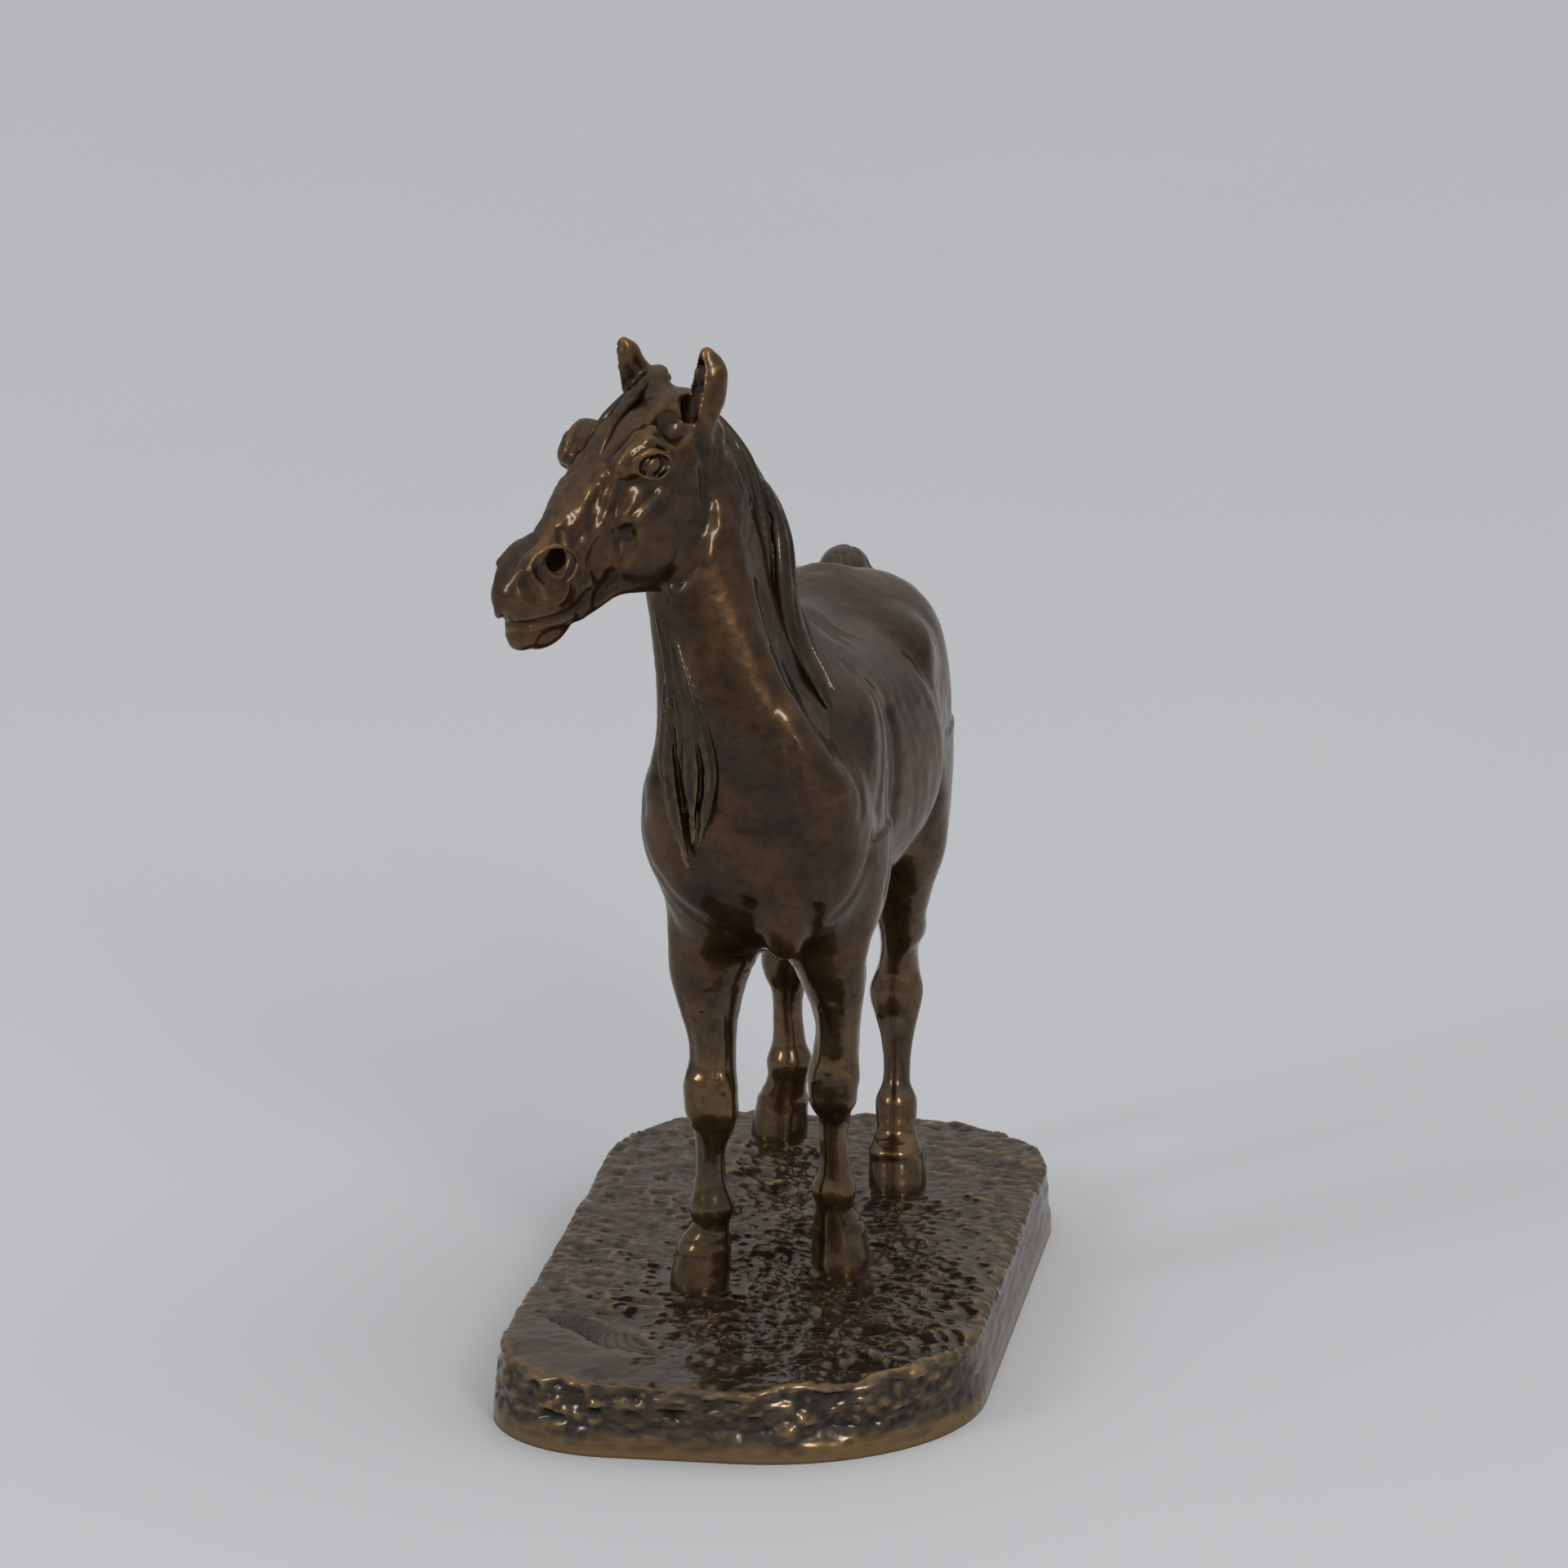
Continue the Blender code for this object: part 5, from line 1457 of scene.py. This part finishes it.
LEFT_LOCKS = (
    (
        (
            (-17.6, -36.5, 192.5), (-12.6, -34.0, 189.5), (-8.0, -32.5, 184.6), (-4.2, -32.1, 177.6),
            (-2.0, -32.5, 169.0), (-1.6, -33.1, 160.0), (-0.6, -33.9, 151.0),
        ),
        (0.8, 1.5, 1.7, 1.8, 1.7, 1.4, 0.5),
    ),
    (
        (
            (-18.6, -33.5, 191.5), (-14.1, -30.3, 189.0), (-8.8, -28.9, 184.0), (-4.0, -28.9, 177.4),
            (-0.9, -30.1, 169.0), (0.7, -31.9, 161.0), (1.6, -33.5, 153.0), (3.3, -34.5, 145.0),
        ),
        (1.0, 2.0, 2.6, 2.7, 2.3, 1.9, 1.5, 0.5),
    ),
    (
        (
            (-16.6, -29.5, 188.0), (-11.2, -26.5, 184.0), (-6.0, -25.1, 178.0), (-1.8, -25.3, 171.6),
            (1.9, -27.1, 165.0), (3.5, -29.7, 157.0), (5.0, -31.5, 147.0), (8.2, -32.5, 138.0),
        ),
        (1.0, 2.2, 2.8, 2.7, 2.9, 2.5, 2.1, 0.6),
    ),
    (
        (
            (-9.6, -24.5, 178.0), (-4.6, -22.9, 174.0), (-0.2, -23.5, 168.6), (2.6, -26.1, 162.0),
            (4.2, -28.7, 153.0), (6.4, -30.3, 143.6), (10.8, -31.3, 135.0), (15.0, -31.1, 127.6),
        ),
        (1.0, 2.4, 2.8, 3.0, 2.8, 2.6, 2.1, 0.7),
    ),
    (
        (
            (-6.6, -20.5, 168.0), (-2.0, -19.9, 163.0), (1.4, -21.9, 157.0), (3.9, -24.9, 150.0),
            (6.8, -27.5, 142.0), (11.2, -29.1, 134.0), (15.6, -29.1, 126.5),
        ),
        (1.0, 2.4, 2.8, 2.8, 2.6, 2.2, 0.7),
    ),
    (
        (
            (-5.0, -17.5, 158.0), (-0.1, -17.5, 153.0), (4.2, -20.1, 147.0), (7.9, -23.5, 140.0),
            (12.5, -26.1, 133.0), (16.4, -26.9, 126.0),
        ),
        (1.0, 2.2, 2.6, 2.6, 2.2, 0.7),
    ),
    (
        (
            (-3.0, -14.5, 149.0), (2.5, -15.1, 145.0), (7.1, -18.1, 139.6), (11.9, -22.1, 133.0),
            (15.6, -24.1, 127.0),
        ),
        (1.0, 2.2, 2.4, 2.0, 0.7),
    ),
    (
        (
            (-2.2, -27.5, 176.0), (0.8, -27.5, 171.6), (2.8, -28.1, 165.0), (3.4, -29.1, 157.0),
            (4.5, -29.9, 148.0), (7.7, -30.5, 139.6), (13.0, -30.5, 131.6),
        ),
        (0.8, 1.6, 1.8, 1.7, 1.6, 1.6, 0.7),
    ),
)
RIGHT_LOCKS = (
    (
        (
            (-17.9, -38.4, 181.0), (-18.3, -41.0, 172.0), (-17.6, -44.7, 162.0), (-15.4, -48.0, 152.0),
            (-13.6, -50.0, 143.0), (-13.6, -51.4, 134.0), (-14.0, -52.4, 125.0), (-12.4, -53.8, 115.0),
            (-9.6, -55.0, 103.5),
        ),
        (1.2, 1.9, 2.0, 1.9, 2.0, 2.1, 2.0, 1.6, 0.5),
    ),
    (
        (
            (-16.7, -40.6, 176.0), (-16.3, -43.9, 167.0), (-14.8, -47.4, 157.0), (-12.4, -50.2, 148.0),
            (-9.6, -52.0, 139.0), (-7.4, -53.0, 131.0), (-6.0, -53.8, 123.6), (-6.9, -54.4, 116.0),
            (-8.3, -54.8, 108.6),
        ),
        (1.0, 1.6, 1.6, 1.7, 1.9, 2.0, 1.8, 1.4, 0.5),
    ),
    (
        (
            (-17.6, -41.6, 170.0), (-15.6, -46.4, 158.0), (-13.6, -49.8, 147.0), (-11.0, -52.0, 138.0),
            (-9.0, -53.2, 130.0), (-8.8, -54.2, 121.0), (-9.6, -54.8, 112.0),
        ),
        (1.2, 1.7, 1.7, 1.8, 1.7, 1.5, 0.5),
    ),
    (
        (
            (-19.3, -36.8, 174.0), (-18.9, -40.8, 165.0), (-17.0, -44.7, 156.0), (-14.2, -47.8, 147.0),
            (-12.2, -50.2, 138.0), (-13.3, -51.4, 129.6), (-12.9, -52.8, 119.0), (-10.9, -54.0, 109.0),
        ),
        (1.0, 1.6, 1.7, 1.7, 1.8, 1.9, 1.6, 0.6),
    ),
    (
        (
            (-16.2, -45.9, 160.0), (-14.3, -49.2, 151.0), (-12.5, -51.4, 142.0), (-10.1, -53.2, 133.0),
            (-10.1, -54.2, 124.0), (-9.1, -55.0, 115.0), (-9.3, -55.2, 107.0),
        ),
        (0.8, 1.2, 1.4, 1.4, 1.3, 1.1, 0.5),
    ),
    (
        (
            (-18.7, -40.4, 168.0), (-15.6, -46.0, 157.0), (-13.2, -49.0, 147.0), (-12.0, -50.6, 137.0),
            (-10.9, -51.8, 127.0), (-9.9, -53.0, 117.0),
        ),
        (1.4, 2.0, 2.2, 2.6, 2.6, 1.4),
    ),
)
BROW_LOCKS = (
    (
        on_head(
            (-3.6, -3.0, -2.6), (1.1, -2.4, 0.8), (4.6, -1.0, 1.7), (8.0, -0.9, 2.0), (12.8, -0.2, 2.0),
            (15.8, 0.6, 1.6), (19.4, 1.4, 0.8),
        ),
        (1.2, 1.5, 1.3, 1.2, 1.0, 0.9, 0.4),
    ),
    (
        on_head((-3.0, 2.0, -3.6), (1.4, 3.2, -0.8), (4.4, 3.0, 0.6), (7.5, 2.2, 1.2), (11.0, 1.6, 1.4)),
        (0.9, 1.2, 1.2, 1.0, 0.4),
    ),
    (
        on_head(
            (-3.6, -5.0, -3.6), (1.4, -4.8, -0.8), (6.0, -4.4, 0.6), (10.4, -4.6, 1.0),
            (14.6, -5.2, 0.6),
        ),
        (1.0, 1.1, 1.0, 0.9, 0.4),
    ),
)
hair_bronze = patinated_bronze(
    "near-black patina in combed hair",
    "#110f0c",
    "#302821",
    "#463a2c",
    # gold of raised points: rubbed bronze and a painted highlight
    "#887548",
    0.2,
    9.0,
    0.02,
    0.2,
)
for name, node, locks, hairs, finish in (
    ("mane_left_casting", "mane_left", LEFT_LOCKS, 7, hair_bronze),
    ("mane_right_casting", "mane_right", RIGHT_LOCKS, 9, hair_bronze),
    ("forelock_casting", "forelock", BROW_LOCKS, 2, chestnut),
):
    hair = lay_locks(name, locks, 0.3, hairs)
    hair.data.materials.append(finish)
    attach(hair, "root")
    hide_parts(node)


# The tail: cast solid as one hank of hair, with a dowel let into the rump. It arches up
# from the dock, drops straight behind the hocks and ends in a thin twisted point.

TAIL_LOCKS = (
    (
        (
            (1.0, 68.0, 128.5), (0.8, 74.0, 131.8), (0.6, 79.5, 131.4), (0.7, 83.0, 127.0),
            (0.9, 84.2, 118.0), (0.7, 84.2, 107.0), (0.3, 83.6, 94.0), (0.0, 83.2, 82.0),
            (0.4, 83.4, 70.0), (1.0, 84.4, 60.0), (1.4, 85.0, 54.0),
        ),
        (4.4, 5.2, 5.2, 4.6, 3.6, 3.0, 2.8, 2.6, 2.2, 1.4, 0.4),
    ),
    (
        (
            (3.6, 68.0, 126.4), (3.8, 74.5, 130.0), (3.8, 79.8, 129.6), (4.4, 83.2, 125.0),
            (4.8, 84.6, 115.0), (4.6, 84.8, 103.0), (3.6, 84.0, 90.0), (2.2, 83.6, 78.0),
            (1.2, 84.0, 67.0), (1.6, 84.8, 58.0),
        ),
        (3.0, 3.4, 3.4, 3.0, 2.6, 2.3, 2.1, 1.8, 1.4, 0.4),
    ),
    (
        (
            (-1.6, 68.0, 126.4), (-2.4, 74.5, 129.8), (-2.6, 79.8, 129.4), (-3.2, 83.2, 124.6),
            (-3.6, 84.0, 114.0), (-3.6, 83.8, 102.0), (-3.2, 83.0, 89.0), (-2.2, 82.8, 77.0),
            (-0.6, 83.4, 66.0), (0.6, 84.4, 57.0),
        ),
        (3.0, 3.4, 3.4, 3.0, 2.6, 2.3, 2.1, 1.8, 1.4, 0.4),
    ),
    (
        (
            (1.2, 71.0, 131.4), (1.0, 77.0, 133.0), (1.2, 82.0, 131.6), (2.0, 85.2, 125.6),
            (1.4, 86.6, 115.0), (0.4, 86.4, 102.0), (-0.6, 85.8, 90.0), (-0.4, 85.4, 78.0),
            (0.6, 85.6, 67.0),
        ),
        (2.6, 3.2, 3.0, 2.4, 2.0, 1.9, 1.7, 1.3, 0.4),
    ),
)
tail = lay_locks("tail_casting", TAIL_LOCKS, 0.32, 7)
tail.data.materials.append(hair_bronze)
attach(tail, "root")
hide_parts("tail")


# Fixings: bronze pins filed flush and plugs under the skin, and brass nuts and washers on
# steel studs inside the base. They keep the plain turned shapes they came with.


def plain_metal(name, pale, deep, shine, scale):
    """Turned or sawn bar. Fine scratches and a little tarnish dull it unevenly."""
    made, tree, where = new_finish(name)
    tarnish = noise(tree, where, scale, 5.0)
    colour = blend(tree, tarnish, pale, deep)
    rough = ramp(tree, tarnish, 0.0, 1.0, shine, shine + 0.3)
    shader = add(
        tree,
        "ShaderNodeBsdfPrincipled",
        {"Metallic": 1.0},
        {"Base Color": colour, "Roughness": rough},
    )
    add(tree, "ShaderNodeOutputMaterial", links={"Surface": shader.outputs[0]})
    return made


FIXINGS = (
    (plain_metal("tarnished brass of nuts and washers", "#b8924e", "#5f4420", 0.25, 1.6), "nut washer"),
    (plain_metal("dull steel of the studs", "#8d8c89", "#4b4744", 0.3, 1.2), "stud"),
    (plain_metal("filed bronze of pins and plugs", "#7a5a34", "#3a2614", 0.3, 1.4), "pin plug"),
)
for finish, words in FIXINGS:
    for name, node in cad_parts.items():
        if name.split("_")[-1] in words.split():
            node.data.materials.clear()
            node.data.materials.append(finish)


# The table and lights: a plain pale floor with no edge in sight, a broad soft light before
# the horse's left side, a smaller one before its right, a faint ceiling and pale walls.


def softbox(name, place, aim, width, height, power, tint):
    light = bpy.data.lights.new(name, "AREA")
    light.shape = "RECTANGLE"
    light.size = width
    light.size_y = height
    light.energy = power
    light.color = srgb(tint)[:3]
    obj = bpy.data.objects.new(name, light)
    bpy.context.scene.collection.objects.link(obj)
    obj.location = place
    obj.rotation_euler = (Vector(aim) - Vector(place)).to_track_quat("-Z", "Y").to_euler()


FLOOR_HALF = 9000
corners = [(x * FLOOR_HALF, y * FLOOR_HALF, 0) for x, y in ((-1, -1), (1, -1), (1, 1), (-1, 1))]
floor = mesh_of("floor", corners, [(0, 1, 2, 3)])
paper, tree, where = new_finish("matt grey paper")
grain = add(tree, "ShaderNodeTexNoise", {"Scale": 3.0, "Detail": 3.0}, {"Vector": where})
shade = blend(tree, grain.outputs["Fac"], "#acadb0", "#b0b1b3")
matt = add(tree, "ShaderNodeBsdfPrincipled", {"Roughness": 0.9}, {"Base Color": shade})
add(tree, "ShaderNodeOutputMaterial", links={"Surface": matt.outputs[0]})
floor.data.materials.append(paper)

softbox("key", (0.8, -1.5, 1.15), (0, 0, 0.1), 0.32, 0.7, 10.0, "#fffdf9")
softbox("side", (-1.2, -1.2, 0.95), (0, 0, 0.1), 0.28, 0.6, 6.6, "#fbfcff")
sky = bpy.data.objects.new("ceiling", bpy.data.lights.new("ceiling", "SUN"))
sky.data.angle = math.radians(70)
sky.data.energy = 1.2
sky.visible_glossy = False
sky.rotation_euler = (math.radians(-20), math.radians(12), 0)
bpy.context.scene.collection.objects.link(sky)

world = bpy.data.worlds.new("pale room")
bpy.context.scene.world = world
world.use_nodes = True
world.node_tree.nodes.clear()
toward = add(world.node_tree, "ShaderNodeTexCoord").outputs["Generated"]
toward = add(world.node_tree, "ShaderNodeSeparateXYZ", links={"Vector": toward}).outputs["Z"]
walls = blend(world.node_tree, ramp(world.node_tree, toward, 0.0, 0.9), "#a5a6aa", "#ffffff")
air = add(world.node_tree, "ShaderNodeBackground", {"Strength": 0.8}, {"Color": walls})
add(world.node_tree, "ShaderNodeOutputWorld", links={"Surface": air.outputs[0]})

camera = bpy.data.objects.new("camera", bpy.data.cameras.new("camera"))
bpy.context.scene.collection.objects.link(camera)
camera.data.lens = 187.5
camera.data.sensor_width = 36.0
camera.data.clip_end = 100.0
AIM_HEIGHT = 0.1077
around, above, away = math.radians(8.5), math.radians(14.9), 1.58
camera.location = (
    away * math.sin(around) * math.cos(above),
    -away * math.cos(around) * math.cos(above),
    AIM_HEIGHT + away * math.sin(above),
)
camera.rotation_euler = (Vector((0, 0, AIM_HEIGHT)) - camera.location).to_track_quat("-Z", "Y").to_euler()
bpy.context.scene.camera = camera
bpy.context.scene.view_settings.view_transform = "Standard"
